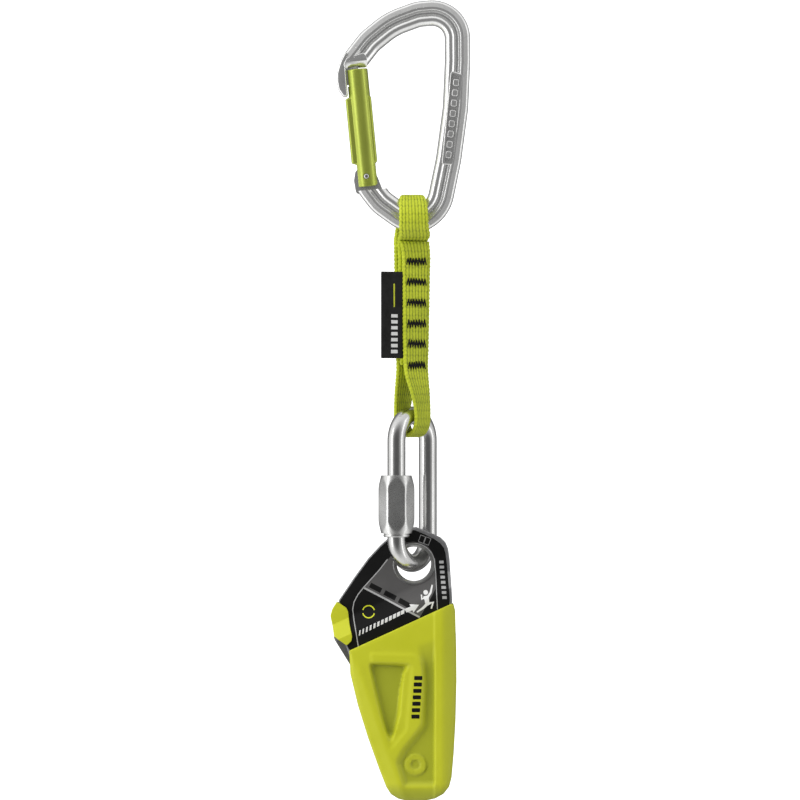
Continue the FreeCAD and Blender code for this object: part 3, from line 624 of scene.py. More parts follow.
# ------------------------------------------------------------------ shared shape makers
def arc_path(points, radii, step=0.7):
    """Dense points and tangents along straight runs joined by arcs, in the (x, z) plane."""
    P = [Vector((p[0], p[1])) for p in points]
    out = [P[0]]
    for i in range(1, len(P) - 1):
        a, b, c = P[i - 1], P[i], P[i + 1]
        d1, d2 = (a - b).normalized(), (c - b).normalized()
        ang = d1.angle(d2)
        r = radii[i]
        t = r / math.tan(ang / 2)
        cen = b + (d1 + d2).normalized() * (r / math.sin(ang / 2))
        p1, p2 = b + d1 * t, b + d2 * t
        a0 = math.atan2(p1.y - cen.y, p1.x - cen.x)
        a1 = math.atan2(p2.y - cen.y, p2.x - cen.x)
        d = (a1 - a0 + math.pi) % (2 * math.pi) - math.pi
        m = max(3, int(abs(d) * r / step))
        for q in range(m + 1):
            t_ = a0 + d * q / m
            out.append(Vector((cen.x + r * math.cos(t_), cen.y + r * math.sin(t_))))
    out.append(P[-1])
    dense = [out[0]]
    for a, b in zip(out, out[1:]):
        L = (b - a).length
        if L < 1e-4:
            continue
        m = max(1, int(round(L / step)))
        for q in range(1, m + 1):
            dense.append(a + (b - a) * (q / m))
    return dense


def extrude_outline(name, outline, y0, y1):
    n = len(outline)
    v = [(p[0], y0, p[1]) for p in outline] + [(p[0], y1, p[1]) for p in outline]
    f = [tuple(range(n)), tuple(reversed(range(n, 2 * n)))]
    f += [(i, i + n, (i + 1) % n + n, (i + 1) % n) for i in range(n)]
    return fix_normals(mesh_object(name, v, f, smooth=False))


def soften(ob, width=0.35, segments=3, angle=40):
    m = ob.modifiers.new("bev", "BEVEL")
    m.width = width * MM
    m.segments = segments
    m.limit_method = "ANGLE"
    m.angle_limit = math.radians(angle)
    bpy.context.view_layer.update()
    return apply_modifiers(ob)


def remesh(ob, voxel, smooth=3, factor=0.5):
    m = ob.modifiers.new("r", "REMESH")
    m.mode = "VOXEL"
    m.voxel_size = voxel * MM
    m.use_smooth_shade = True
    if smooth:
        s = ob.modifiers.new("s", "SMOOTH")
        s.iterations = smooth
        s.factor = factor
    bpy.context.view_layer.update()
    mats = [x for x in ob.data.materials]
    apply_modifiers(ob)
    ob.data.materials.clear()
    for x in mats:
        ob.data.materials.append(x)
    ob.data.polygons.foreach_set("use_smooth", [True] * len(ob.data.polygons))
    return ob


def cylinder_mesh(name, r, p0, p1, seg=48):
    p0, p1 = Vector(p0), Vector(p1)
    d = (p1 - p0).normalized()
    a = d.orthogonal().normalized()
    b = d.cross(a)
    rings = [[tuple(p + a * (r * math.cos(2 * math.pi * k / seg)) + b * (r * math.sin(2 * math.pi * k / seg))) for k in range(seg)] for p in (p0, p1)]
    return loft_mesh(name, rings, smooth=False)


def finish_piece(ob, body, mat=None, replaces=()):
    if mat is not None:
        ob.data.materials.clear()
        ob.data.materials.append(mat)
    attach(ob, body)
    if replaces:
        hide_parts(*replaces)
    return ob


# ------------------------------------------------------------------ snap hook: body
MIDP = [(-32.03, -15.56), (-25.00, -6.52), (-15.72, 0.99), (-4.32, 5.16), (12.56, 6.66), (12.72, -14.78), (11.81, -35.09),
        (8.85, -57.31), (3.95, -80.99), (-8.06, -84.19), (-20.10, -75.56), (-24.62, -69.72), (-27.30, -64.50)]
MIDR = [0, 17.5, 28.7, 12.85, 10.95, 25.8, 34.4, 64.5, 14.1, 13.4, 16.0, 12.9, 0]
BAR = arc_path(MIDP, MIDR, 0.6)
half = [(5.5, 0.0), (5.44, 1.5), (5.1, 2.5), (4.5, 3.1), (2.3, 3.85), (1.3, 3.6), (0.5, 2.15), (-0.7, 2.05), (-1.5, 3.1), (-2.5, 3.75), (-3.7, 3.55), (-4.9, 2.6), (-5.4, 1.3), (-5.5, 0.0)]
sec = half[:-1] + [(-5.5, 0.0)] + [(r, -y) for r, y in reversed(half[1:-1])]
SEC_R = [0.6, 1.2, 1.0, 1.0, 1.0, 0.6, 0.7, 0.6, 1.0, 1.6, 1.8, 1.6, 1.4]
sec_round = round_outline(sec, SEC_R + [1.5] + SEC_R[:0:-1], 0.2)


def bar_rings(pts, section):
    rings = []
    for i, p in enumerate(pts):
        t = (pts[min(i + 1, len(pts) - 1)] - pts[max(i - 1, 0)]).normalized()
        n = Vector((-t.y, t.x))
        rings.append([(p.x + n.x * s[0], s[1], p.y + n.y * s[0]) for s in section])
    return rings


bar = loft_mesh("carabiner_forging", bar_rings(BAR, sec_round))
GATE_BASE = Vector(((-25.67, -68.84)[0], 0, (-25.67, -68.84)[1]))
GATE_M = Matrix.Translation(GATE_BASE) @ Matrix.Rotation(math.radians(-5.57), 4, Vector((0, 1, 0)))
PIVOT = Vector(((-26.45, -64.63)[0], 0, (-26.45, -64.63)[1]))
PL = GATE_M.inverted() @ PIVOT
boolean(bar, box_mesh("c1", (-9, -9, -1.6), (9, 9, 24), GATE_M))
boolean(bar, box_mesh("c2", (-9, -9, 36), (9, 9, 51.2), GATE_M))
tongue = extrude_outline("tongue", round_outline([(-30.96, -71.64), (-31.82, -66.48), (-31.30, -62.82), (-29.84, -60.89), (-26.66, -60.20), (-23.43, -61.53), (-21.50, -65.19), (-18.49, -72.93), (-24.94, -74.22)], 1.5), -1.9, 1.9)
lip = soften(extrude_outline("lip", round_outline([(-35.05, -10.41), (-36.59, -12.81), (-37.58, -14.88), (-38.40, -17.24), (-39.26, -20.47), (-39.22, -23.91), (-38.53, -27.35), (-36.55, -30.27), (-34.40, -30.49), (-35.43, -17.46), (-32.25, -13.80)], 0.9), -3.4, 3.4), 0.9, 4, 60)
key = box_mesh("key", (-6.2, -1.55, 44.2), (0.6, 1.55, 52.5), GATE_M)
PANEL = [(9.72, -19.18), (15.14, -20.90), (10.84, -59.77), (5.76, -59.43)]
panel = soften(extrude_outline("panel", round_outline(PANEL, 1.0), -3.88, 3.88), 0.5, 4, 60)
cx = sum(p[0] for p in PANEL) / 4
cz = sum(p[1] for p in PANEL) / 4
inner_panel = [(cx + (p[0] - cx) * 0.70, cz + (p[1] - cz) * 0.95) for p in PANEL]
nose = soften(extrude_outline("nose", round_outline([(-35.00, -13.80), (-27.61, -11.44), (-26.14, -13.59), (-26.06, -16.17), (-26.40, -17.63), (-35.69, -18.15), (-36.29, -16.38)], 0.8), -3.75, 3.75), 0.3, 2, 60)
body = bar
for extra in (nose, lip, key, tongue, panel):
    boolean(body, extra, "UNION")
for sg in (-1, 1):
    wedge = [(-4.9, sg * 4.6, 54.9), (9.0, sg * 4.6, 54.9), (-4.9, sg * 3.9, 54.1), (9.0, sg * 3.9, 54.1), (-4.9, sg * 0.95, 50.9), (9.0, sg * 0.95, 50.9), (-4.9, sg * 5.5, 50.9), (9.0, sg * 5.5, 50.9)]
    wv = [tuple(GATE_M @ Vector(p)) for p in wedge]
    wf = [(0, 2, 3, 1), (2, 4, 5, 3), (4, 6, 7, 5), (6, 0, 1, 7), (0, 6, 4, 2), (1, 3, 5, 7)]
    boolean(body, fix_normals(mesh_object("wedge", wv, wf, smooth=False)))
for y0, y1 in ((-4.5, -3.0), (3.0, 4.5)):
    boolean(body, extrude_outline("pc", round_outline(inner_panel, 0.9), y0, y1))
pads = []
ax = Vector((PANEL[3][0] + PANEL[2][0] - PANEL[0][0] - PANEL[1][0], PANEL[3][1] + PANEL[2][1] - PANEL[0][1] - PANEL[1][1])).normalized()
bx_ = Vector((-ax.y, ax.x))
for k in range(8):
    c_ = Vector((cx, cz)) + ax * ((k - 3.5) * 4.45)
    o_ = [c_ + ax * a_ + bx_ * b_ for a_, b_ in ((-1.45, -1.3), (1.45, -1.3), (1.45, 1.3), (-1.45, 1.3))]
    pads.append(extrude_outline("pd", round_outline(o_, 0.8, 0.3), -3.7, -2.8))
    pads.append(extrude_outline("pd", round_outline(o_, 0.8, 0.3), 2.8, 3.7))
boolean(body, soften(join(pads, "pads"), 0.38, 3, 60), "UNION")
body.name = "carabiner_body_forged"
smooth_by_angle(body, 50)
finish_piece(body, "carabiner", M_ALU, ("carabiner_body",))

# ------------------------------------------------------------------ snap hook: gate
wing = round_outline([(-6.3, -2.9), (5.05, -2.9), (5.05, 2.9), (-6.3, 2.9)], 1.15, 0.2)
wa = np.array([math.atan2(p.y, p.x) for p in wing])
wr = np.array([math.hypot(p.x, p.y) for p in wing])
order = np.argsort(wa)
wa, wr = wa[order], wr[order]
NA = 120
angs = np.linspace(-math.pi, math.pi, NA, endpoint=False)
wing_r = np.interp(angs, wa, wr, period=2 * math.pi)
GLEN, GR = 50.6, 4.6
zs = np.unique(np.concatenate([[0, 0.15, 0.4], np.arange(0.8, 9.2, 0.8), np.arange(9.4, 11.2, 0.15), np.arange(11.6, 37.2, 0.8), np.arange(37.2, 39.4, 0.15), np.arange(39.8, 49.9, 0.8), [50.1, 50.3, 50.45, 50.55, 50.6]]))
rings = []
for z in zs:
    w = sstep(9.5, 10.6, z) * (1 - sstep(37.9, 39.0, z))
    rc = GR - 0.35 * (1 - math.sqrt(max(0.0, 1 - ((z - 50.2) / 0.4) ** 2))) if z > 50.2 else GR
    rr_ = np.maximum(rc, rc + (wing_r - rc) * w)
    e = 0.25
    rr_ = np.where(wing_r > rc, 0.5 * (rc + rr_ + np.sqrt((rr_ - rc) ** 2 + e * e)) - e / 2, rc)
    rings.append([tuple(GATE_M @ Vector((r * math.cos(a), r * math.sin(a), z))) for r, a in zip(rr_, angs)])
gate = loft_mesh("carabiner_gate_turned", rings)
# rounded foot about the pivot
foot = [(PL.x + 5.6 * math.cos(a), PL.z + 5.6 * math.sin(a)) for a in np.linspace(math.pi, 2 * math.pi, 40)]
keep = foot + [(PL.x + 14, PL.z), (PL.x + 14, 60), (PL.x - 14, 60), (PL.x - 14, PL.z)]
kp = [Vector(p) for p in keep]
n = len(kp)
v = [tuple(GATE_M @ Vector((p.x, -9, p.y))) for p in kp] + [tuple(GATE_M @ Vector((p.x, 9, p.y))) for p in kp]
f = [tuple(range(n)), tuple(reversed(range(n, 2 * n)))] + [(i, i + n, (i + 1) % n + n, (i + 1) % n) for i in range(n)]
boolean(gate, fix_normals(mesh_object("keep", v, f, smooth=False)), "INTERSECT")
boolean(gate, box_mesh("s1", (-10, -2.05, -1), (10, 2.05, 10.6), GATE_M))
boolean(gate, box_mesh("s2", (-6.0, -1.75, 43.4), (1.2, 1.75, 52.4), GATE_M))
boolean(gate, cylinder_mesh("s3", 1.85, GATE_M @ Vector((0, 0, 9.0)), GATE_M @ Vector((0, 0, 34.0))))
boolean(gate, cylinder_mesh("s4", 1.22, PIVOT + Vector((0, -9, 0)), PIVOT + Vector((0, 9, 0))))
remesh(gate, 0.16, 3, 0.5)
finish_piece(gate, "gate", M_GATE, ("carabiner_gate",))

prof = [(-5.05, 0.0), (-5.03, 0.3), (-4.97, 0.6), (-4.86, 0.85), (-4.72, 1.02), (-4.62, 1.07), (-4.5, 1.12), (4.5, 1.12), (4.62, 1.07), (4.72, 1.02), (4.86, 0.85), (4.97, 0.6), (5.03, 0.3), (5.05, 0.0)]
rings = [[(PIVOT.x + max(r, 0.02) * math.cos(a), y, PIVOT.z + max(r, 0.02) * math.sin(a)) for a in np.linspace(0, 2 * math.pi, 32, endpoint=False)] for y, r in prof]
rv = loft_mesh("gate_rivet_domed", rings)
finish_piece(rv, "carabiner", M_STEEL, ("gate_rivet",))

# ------------------------------------------------------------------ sewn sling
T, W = 1.9, 13.4
YAW = [(-70.0, 2.0), (-88.4, 5.0), (-93.1, 20.0), (-98.5, 24.0), (-117.6, 30.0), (-139.1, 36.0), (-147.7, 40.0), (-160.6, 49.0), (-167.0, 52.15), (-190.0, 52.15)]
LAT = [(-70.0, 0.0), (-92.0, 0.0), (-93.5, 1.0), (-147.7, 0.45), (-160.6, 0.0), (-190.0, 0.0)]
GAP = T + 0.06
RT = 8.45 + T / 2


def table(tab, z):
    xs = [-a for a, b in tab]
    return float(np.interp(-z, xs, [b for a, b in tab]))


YZ_ = np.arange(-190, -60, 0.5)
YV_ = np.array([table(YAW, z) for z in YZ_])
YV_ = np.convolve(np.pad(YV_, 6, mode="edge"), np.ones(13) / 13, "valid")


def yaw(z):
    return math.radians(float(np.interp(z, YZ_, YV_)))


def lateral(k, z, n):
    return 0.0 if k == 0 else table(LAT, z) * (1.0 if n < 0 else -1.0)


def width_at(n, z):
    if z > ZT:
        q = min(1.0, (z - ZT) / RT)
        return W - 0.9 - 2.4 * q ** 5
    if z > ZT - 7.0:
        return W - 0.9 * (z - ZT + 7.0) / 7.0
    if z < ZB + 3:
        return 10.4
    if z < -150:
        return W - 3.0 * (-150 - z) / (-150 - ZB - 3)
    return W


front_leg = [(-GAP, z, 1) for z in (-92.5, -98.5, -106.0, -117.6, -128.0, -139.1, -146.6)]
low_front = [(-2.9, -151.5, 1), (-4.4, -157.0, 1), (-5.3, -162.0, 1)]
bottom = [(-5.6, ZB + 1.0, 0), (-5.5, ZB - 2.6, 0), (-4.75, ZB - 5.4, 0), (-2.9, ZB - 7.7, 0), (0.0, ZB - 8.5, 0)]
bottom += [(-n_, z_, k_) for n_, z_, k_ in reversed(bottom[:-1])]
low_back = [(-n_, z_, -1) for n_, z_, k_ in reversed(low_front)]
back_leg = [(GAP, z, -1) for z in (-146.6, -139.1, -128.0, -117.6, -106.0, -98.5, -93.5)]
top = [(RT * math.cos(math.radians(d)), ZT + RT * math.sin(math.radians(d)), 0) for d in (-50, -30, -10, 15, 40, 65, 90, 115, 140, 165, 190, 210, 230)]
middle_leg = [(0.0, z, 0) for z in (-92.6, -98.5, -106.0, -117.6, -128.0, -139.1, -145.6)]
ST = front_leg + low_front + bottom + low_back + back_leg + top + middle_leg
rows = [(n_, z_, lateral(k_, z_, n_), width_at(n_, z_)) for n_, z_, k_ in ST]


def catmull(rows, step):
    R = np.array(rows)
    P = np.vstack([2 * R[0] - R[1], R, 2 * R[-1] - R[-2]])
    out = []
    for i in range(1, len(P) - 2):
        p0, p1, p2, p3 = P[i - 1], P[i], P[i + 1], P[i + 2]
        t01 = max(1e-3, np.hypot(*(p1 - p0)[:2])) ** 0.5
        t12 = max(1e-3, np.hypot(*(p2 - p1)[:2])) ** 0.5
        t23 = max(1e-3, np.hypot(*(p3 - p2)[:2])) ** 0.5
        m1 = (p2 - p1) + t12 * ((p1 - p0) / t01 - (p2 - p0) / (t01 + t12))
        m2 = (p2 - p1) + t12 * ((p3 - p2) / t23 - (p3 - p1) / (t12 + t23))
        L = np.hypot(*(p2 - p1)[:2])
        m = max(2, int(round(L / step)))
        for q in range(m):
            s = q / m
            out.append((2 * s ** 3 - 3 * s * s + 1) * p1 + (s ** 3 - 2 * s * s + s) * m1 + (-2 * s ** 3 + 3 * s * s) * p2 + (s ** 3 - s * s) * m2)
    out.append(P[-2])
    return np.array(out)


def band_point(n_, z_, u_):
    th = yaw(z_)
    return Vector((SX, 0, z_)) + Vector((-math.sin(th), math.cos(th), 0)) * n_ + Vector((math.cos(th), math.sin(th), 0)) * u_


path = catmull(rows, 0.36)
RIBS, PER = 9, 8
NU = RIBS * PER
rings, uvs, web_shade_values = [], [], []
vlen = 0.0
rib_pitch = 1.0 / RIBS
for i, (n_, z_, l_, w_) in enumerate(path):
    a, b = path[max(i - 1, 0)], path[min(i + 1, len(path) - 1)]
    d = np.array([b[0] - a[0], b[1] - a[1]])
    d /= max(1e-9, np.hypot(*d))
    if i:
        vlen += math.hypot(path[i][0] - path[i - 1][0], path[i][1] - path[i - 1][1])
    th = yaw(z_)
    w = Vector((math.cos(th), math.sin(th), 0))
    nn = Vector((-math.sin(th), math.cos(th), 0))
    t = nn * d[1] + Vector((0, 0, -d[0]))
    c = Vector((SX, 0, z_)) + nn * n_ + w * l_
    edge = 1 + 0.020 * math.sin(2 * math.pi * vlen / 1.72) + 0.006 * math.sin(vlen * 1.9)
    hw_ = w_ / 2 * edge
    end = min(1.0, min(i, len(path) - 1 - i) / 3.0)
    ring, uv = [], []
    for side in (1, -1):
        for q in range(NU):
            s = -1 + 2 * (q + 0.5) / NU
            s = s if side == 1 else -s
            prof = (1 - abs(s) ** 9) ** 0.5
            rib = 0.5 + 0.5 * math.cos(2 * math.pi * (s * 0.5 + 0.5) * RIBS + math.pi)
            cross = 0.5 + 0.5 * math.sin(2 * math.pi * vlen / 1.72 + math.pi * (int((s * 0.5 + 0.5) * RIBS) % 2))
            cross = cross ** 2
            rowline = (0.5 + 0.5 * math.sin(2 * math.pi * vlen / 3.44)) ** 10
            drop_ = (0.15 * (1 - rib) ** 2.2 + 0.05 * cross * (0.4 + 0.6 * rib) + 0.05 * rowline) * min(1.0, prof * 1.2)
            h = (T / 2 + 0.03) * prof * (0.78 + 0.22 * end) - drop_
            h = max(h, 0.12)
            # painted shade for the weave valleys, taken from their depth
            web_shade_values.append(min(1.0, drop_ / 0.24))
            ring.append(tuple(c + w * (s * hw_) + t * (h * side)))
            uv.append((s * 0.5 * W + (0 if side == 1 else 40), vlen))
    rings.append(ring)
    uvs += uv
web = loft_mesh("sling_webbing_woven", rings, uvs=uvs, mats=[M_WEB])
at = web.data.attributes.new("painted_shade", "FLOAT", "POINT")
at.data.foreach_set("value", np.array(web_shade_values, dtype=np.float32))
finish_piece(web, "sling", M_WEB, ("sling_webbing",))


def tube(name, pts, ra, rb, normal_of, seg=10, mats=(), caps=True):
    """Tube of elliptical section: ra across the run in the surface, rb along the surface normal."""
    rings = []
    for i, p in enumerate(pts):
        t = (pts[min(i + 1, len(pts) - 1)] - pts[max(i - 1, 0)]).normalized()
        nrm = normal_of(p)
        side = t.cross(nrm).normalized()
        nrm = side.cross(t).normalized()
        end = 0.55 if i in (0, len(pts) - 1) else 1.0
        rings.append([tuple(p + side * (ra * end * math.cos(a)) + nrm * (rb * end * math.sin(a))) for a in np.linspace(0, 2 * math.pi, seg, endpoint=False)])
    return loft_mesh(name, rings, mats=mats)


stitches = []
for ti, z0 in enumerate((-101.2, -109.9, -118.8, -127.9, -136.5, -145.8)):
    tilt = (random.random() - 0.5) * 0.5
    for row, (dz, amp, teeth, ra) in enumerate(((0.0, 1.62, 14, 0.25), (0.05, 0.42, 16, 0.24))):
        pts = []
        for q in range(teeth + 1):
            u_ = -4.7 + 9.4 * (q + (0.25 * (random.random() - 0.5) if 0 < q < teeth else 0)) / teeth + table(LAT, z0) - 0.3
            z_ = z0 + dz + (amp if q % 2 else -amp) * (1 + 0.34 * (random.random() - 0.5)) + tilt * (q / teeth - 0.5)
            pts.append((u_, z_))
        dense = []
        for a, b in zip(pts, pts[1:]):
            for s in (0.0, 0.12, 0.5, 0.88):
                dense.append((a[0] + (b[0] - a[0]) * s, a[1] + (b[1] - a[1]) * s))
        dense.append(pts[-1])
        off = -GAP - T / 2 - (0.14 if row == 0 else 0.06)
        P3 = [band_point(off, z_, u_) for u_, z_ in dense]
        th = yaw(z0)
        nn = Vector((-math.sin(th), math.cos(th), 0))
        stitches.append(tube("st", P3, ra, 0.22, lambda p, nn=nn: nn, 8))
st = join(stitches, "bartack_threads")
finish_piece(st, "sling", M_THREAD, ("bartack_stitches",))

# folded woven label on the left edge
rings = []
tz = np.linspace(-105.6, -142.8, 94)
TW = 12.4
for i, z_ in enumerate(tz):
    th = math.radians(28.5)
    w = Vector((math.cos(th), math.sin(th), 0))
    nn = Vector((-math.sin(th), math.cos(th), 0))
    q = (z_ + 124.2) / 18.6
    c0 = band_point(-GAP * 0.62, -124.2, table(LAT, -124.2) - W / 2 - TW / 2 + 1.5)
    c = Vector((-20.25 + TW / 2 * math.cos(th), c0.y + 0.45, z_))
    ring = []
    M_ = 30
    endf = min(1.0, (min(i, len(tz) - 1 - i) + 0.3) / 2.2)
    for side in (1, -1):
        for k in range(M_):
            s = (-1 + 2 * (k + 0.5) / M_) * side
            prof = (1 - max(0.0, -s) ** 8) ** 0.5 if s < 0 else 1.0
            border = 0.07 if (abs(s) > 0.80 or abs(q) > 0.925) else 0.0
            weave = 0.022 * math.sin(2 * math.pi * z_ / 0.8) * math.cos(2 * math.pi * s * 8)
            h = (0.48 * prof + border * prof + weave * prof) * endf
            belly = 0.35 * (1 - s * s) * math.sin(math.pi * (q * 0.5 + 0.5)) * 0.5
            ring.append(tuple(c + w * (s * TW / 2) + nn * (h * side - belly)))
    rings.append(ring)
tag = loft_mesh("label_tag_woven", rings, mats=[M_LABEL])
marks = []
tw = Vector((math.cos(math.radians(28.5)), math.sin(math.radians(28.5)), 0))
tn = Vector((-tw.y, tw.x, 0))
TM = Matrix((( tw.x, tn.x, 0, -20.25 + TW / 2 * tw.x), (tw.y, tn.y, 0, c.y), (0, 0, 1, -124.2), (0, 0, 0, 1)))
for k in range(7):
    zc = -0.4 - 2.55 * k
    marks.append(soften(box_mesh("mk", (-1.5, -0.69, zc - 0.75), (1.7, -0.2, zc + 0.75), TM), 0.12, 2))
st2 = join(marks, "label_marks_white")
finish_piece(st2, "sling", M_LINE2, ())
lm = soften(box_mesh("label_mark_green", (-0.35, -0.69, 3.4), (0.35, -0.2, 13.4), TM), 0.12, 2)
finish_piece(lm, "sling", M_WEB2, ())
finish_piece(tag, "sling", M_LABEL, ("label_tag",))

# ------------------------------------------------------------------ screw link
LW, RR = 11.0, 3.9
LTOP, LBOT = -167.3, -230.8
NUT0, NUT1 = -217.8, -193.0


def link_pt(s, z):
    return Vector((SX, 0, z)) + U * s


cl = []
for z in np.arange(NUT0 + 16.5, LTOP - LW, 0.8):
    cl.append(link_pt(-LW, z))
for a in np.linspace(math.pi, 0, 60):
    cl.append(link_pt(LW * math.cos(a), LTOP - LW + LW * math.sin(a)))
for z in np.arange(LTOP - LW - 0.8, LBOT + LW, -0.8):
    cl.append(link_pt(LW, z))
for a in np.linspace(0, -math.pi, 60):
    cl.append(link_pt(LW * math.cos(a), LBOT + LW + LW * math.sin(a)))
for z in np.arange(LBOT + LW + 0.8, NUT0 + 7.0, 0.8):
    cl.append(link_pt(-LW, z))
side = Vector((-U.y, U.x, 0))
rings = []
for i, p in enumerate(cl):
    t = (cl[min(i + 1, len(cl) - 1)] - cl[max(i - 1, 0)]).normalized()
    q = side.cross(t).normalized()
    rings.append([tuple(p + side * (RR * math.cos(a)) + q * (RR * math.sin(a))) for a in np.linspace(0, 2 * math.pi, 48, endpoint=False)])
link = loft_mesh("link_rod_bent", rings)
finish_piece(link, "link", M_STEEL, ("link_body",))

# sleeve nut: hexagon turned away by a cone at both ends, with a round collar below
AF, COL_R, COL_H = 13.8, 5.6, 1.6
AC = AF / math.sqrt(3)
angs = np.linspace(0, 2 * math.pi, 144, endpoint=False)
phi = (angs + math.pi / 6) % (math.pi / 3) - math.pi / 6
hex_r = AF / 2 / np.cos((angs % (math.pi / 3)) - math.pi / 6)
hex_r = np.minimum(hex_r, AC - 0.22)
lx, ly = link_pt(-LW, 0).x, link_pt(-LW, 0).y
zs = np.unique(np.concatenate([np.linspace(NUT0, NUT0 + 8.0, 44), np.arange(NUT0 + 8.6, NUT1 - 8.2, 1.2), np.linspace(NUT1 - 8.0, NUT1, 44)]))
prof = []
for z in zs:
    d = min(z - NUT0, NUT1 - z)
    cone = AF / 2 - 0.34 + 1.45 * (1 - (1 - min(d, 6.8) / 6.8) ** 1.3) + max(0.0, d - 6.8)
    r = 0.5 * (hex_r + cone - np.sqrt((hex_r - cone) ** 2 + 0.02))
    prof.append((z, r))
rings = []
NB = 3.95


def ring_at(z, r):
    r = np.broadcast_to(r, angs.shape)
    return [(lx + a_ * math.cos(t_), ly + a_ * math.sin(t_), z) for a_, t_ in zip(r, angs)]


zl = NUT0 - COL_H
rings.append(ring_at(zl + 0.05, NB))
rings.append(ring_at(zl, NB + 0.12))
rings.append(ring_at(zl, COL_R - 0.45))
rings.append(ring_at(zl + 0.14, COL_R - 0.14))
rings.append(ring_at(zl + 0.45, COL_R))
rings.append(ring_at(NUT0 - 0.55, COL_R))
rings.append(ring_at(NUT0 - 0.42, COL_R - 0.16))
rings.append(ring_at(NUT0 - 0.10, COL_R - 0.16))
rings.append(ring_at(NUT0 - 0.02, COL_R + 0.1))
for z, r in prof:
    rings.append(ring_at(z, r))
rings.append(ring_at(NUT1 + 0.0, NB + 0.5))
rings.append(ring_at(NUT1 - 0.4, NB))
for z in np.linspace(NUT1 - 1.5, zl + 0.8, 12):
    rings.append(ring_at(z, NB))
nut = loft_mesh("link_sleeve_nut", rings, closed=True, caps=False)
smooth_by_angle(nut, 24)
finish_piece(nut, "nut", M_NUT, ("link_nut",))

# ------------------------------------------------------------------ brake plates
Y_IN_F, Y_IN_B = MID_Y - PG / 2, MID_Y + PG / 2
Y_OUT_F, Y_OUT_B = Y_IN_F - PT, Y_IN_B + PT
UPPER = [(-38.38, -246.82), (-31.09, -236.07), (-25.71, -228.76), (-20.34, -223.00), (-16.51, -219.56), (-14.10, -217.62), (-11.31, -216.29), (-8.17, -215.52), (-4.99, -215.30),
         (1.50, -217.92), (5.42, -219.73), (7.65, -221.97), (8.69, -224.72), (9.29, -229.02), (10.36, -245.40)]
LOWER_F = [(10.36, -272.45), (9.72, -299.11), (8.17, -319.75), (5.80, -326.20), (-0.43, -330.50), (-8.60, -330.50), (-13.76, -328.78), (-15.91, -325.77), (-31.56, -277.61), (-34.66, -267.59), (-36.72, -262.56), (-37.84, -255.25)]
LOWER_B = [(10.36, -272.45), (9.72, -299.11), (8.17, -319.75), (5.80, -326.20), (-0.43, -330.50), (-8.60, -330.50), (-13.76, -328.78), (-15.91, -325.77), (-31.56, -277.61), (-33.33, -275.24), (-40.12, -264.28), (-40.68, -262.56), (-38.01, -259.55)]


def flare(x, z, top):
    d = slope_d(np.asarray(x, float), np.asarray(z, float))
    return sum(np.clip((top + o - d) / 6.5, 0, 1) for o in (-0.5, -0.25, 0, 0.25, 0.5)) / 5


def edge_drop(dist, r):
    q = np.clip(r - dist, 0, r)
    return r - np.sqrt(np.maximum(r * r - q * q, 0))


def circle_pts(cx_, cz_, r, k=96):
    return [Vector((cx_ + r * math.cos(a), cz_ + r * math.sin(a))) for a in np.linspace(0, 2 * math.pi, k, endpoint=False)]


def front_y(x, z):
    return Y_OUT_F - FL * flare(x, z, 12.9)


def back_y(x, z):
    return Y_OUT_B + FL * flare(x, z, 12.9)


def plate(name, lower, front, body_name, node, mats, prints):
    outline = round_outline(UPPER + lower, 1.1, 0.7)
    sg = -1 if front else 1
    outer = front_y if front else back_y
    y_in = Y_IN_F if front else Y_IN_B
    ob = patch(name, outline, lambda x, z, d: outer(x, z) - sg * edge_drop(d, 0.45), 0.9, (0.12, 0.45), [circle_pts(HX, HZ, 8.2)], mats, prints)
    close_back(ob, lambda x, z: float(y_in + sg * FL * flare(x, z, 11.8)))
    if front:
        boolean(ob, box_mesh("notch", ((-43.00, -253.61)[0], -12, (-35.52, -256.88)[1]), ((-35.52, -253.61)[0], 3, (-35.52, -253.61)[1])))
    smooth_by_angle(ob, 40)
    return finish_piece(ob, body_name, None, (node,))


def stroke(points, width, widths=None):
    P = [Vector(p) for p in points]
    left, right = [], []
    for i, p in enumerate(P):
        a, b = P[max(i - 1, 0)], P[min(i + 1, len(P) - 1)]
        t = (b - a).normalized()
        n_ = Vector((-t.y, t.x))
        w_ = (widths[i] if widths else width) / 2
        left.append(p + n_ * w_)
        right.append(p - n_ * w_)
    return left + right[::-1]


BLACK = [(-37.88, -246.91), (-30.62, -236.41), (-25.28, -229.15), (-19.95, -223.47), (-16.17, -220.07), (-13.76, -218.22), (-11.09, -216.98), (-8.08, -216.38), (-5.50, -216.63),
         (-1.68, -218.27), (2.54, -220.33), (5.25, -222.22), (6.79, -224.16), (7.52, -226.44), (8.13, -231.43), (9.29, -245.62), (9.12, -248.80), (-15.91, -260.67), (-32.68, -268.58), (-34.23, -267.12), (-36.03, -262.56), (-37.15, -255.68)]
GREY = [(-15.87, -227.60), (-20.86, -233.75), (-27.39, -241.23), (-3.61, -253.91), (-0.21, -248.15), (3.14, -241.83), (2.97, -235.04), (2.84, -229.88), (2.15, -226.65), (0.21, -223.86), (-2.79, -222.14), (-6.24, -221.54), (-9.89, -221.97), (-12.90, -223.64)]
lines = [
    stroke([(-17.41, -229.15), (-20.86, -233.62), (-24.08, -237.19), (-27.39, -240.84), (-30.27, -244.50), (-31.82, -247.55), (-32.38, -250.65), (-31.82, -255.25), (-30.83, -260.62), (-29.93, -266.43)], 0.42),
    stroke([(2.75, -228.76), (3.31, -235.30), (3.57, -241.83), (4.00, -250.52)], 0.36),
    stroke([(-27.39, -241.44), (-15.48, -247.64), (-3.61, -253.79)], 0.8),
]
A = [(-3.18, -218.66), (-1.03, -219.43), (-2.06, -222.27), (-4.13, -221.49)]
B = [(-0.77, -219.51), (1.29, -220.25), (0.17, -223.08), (-1.81, -222.40)]
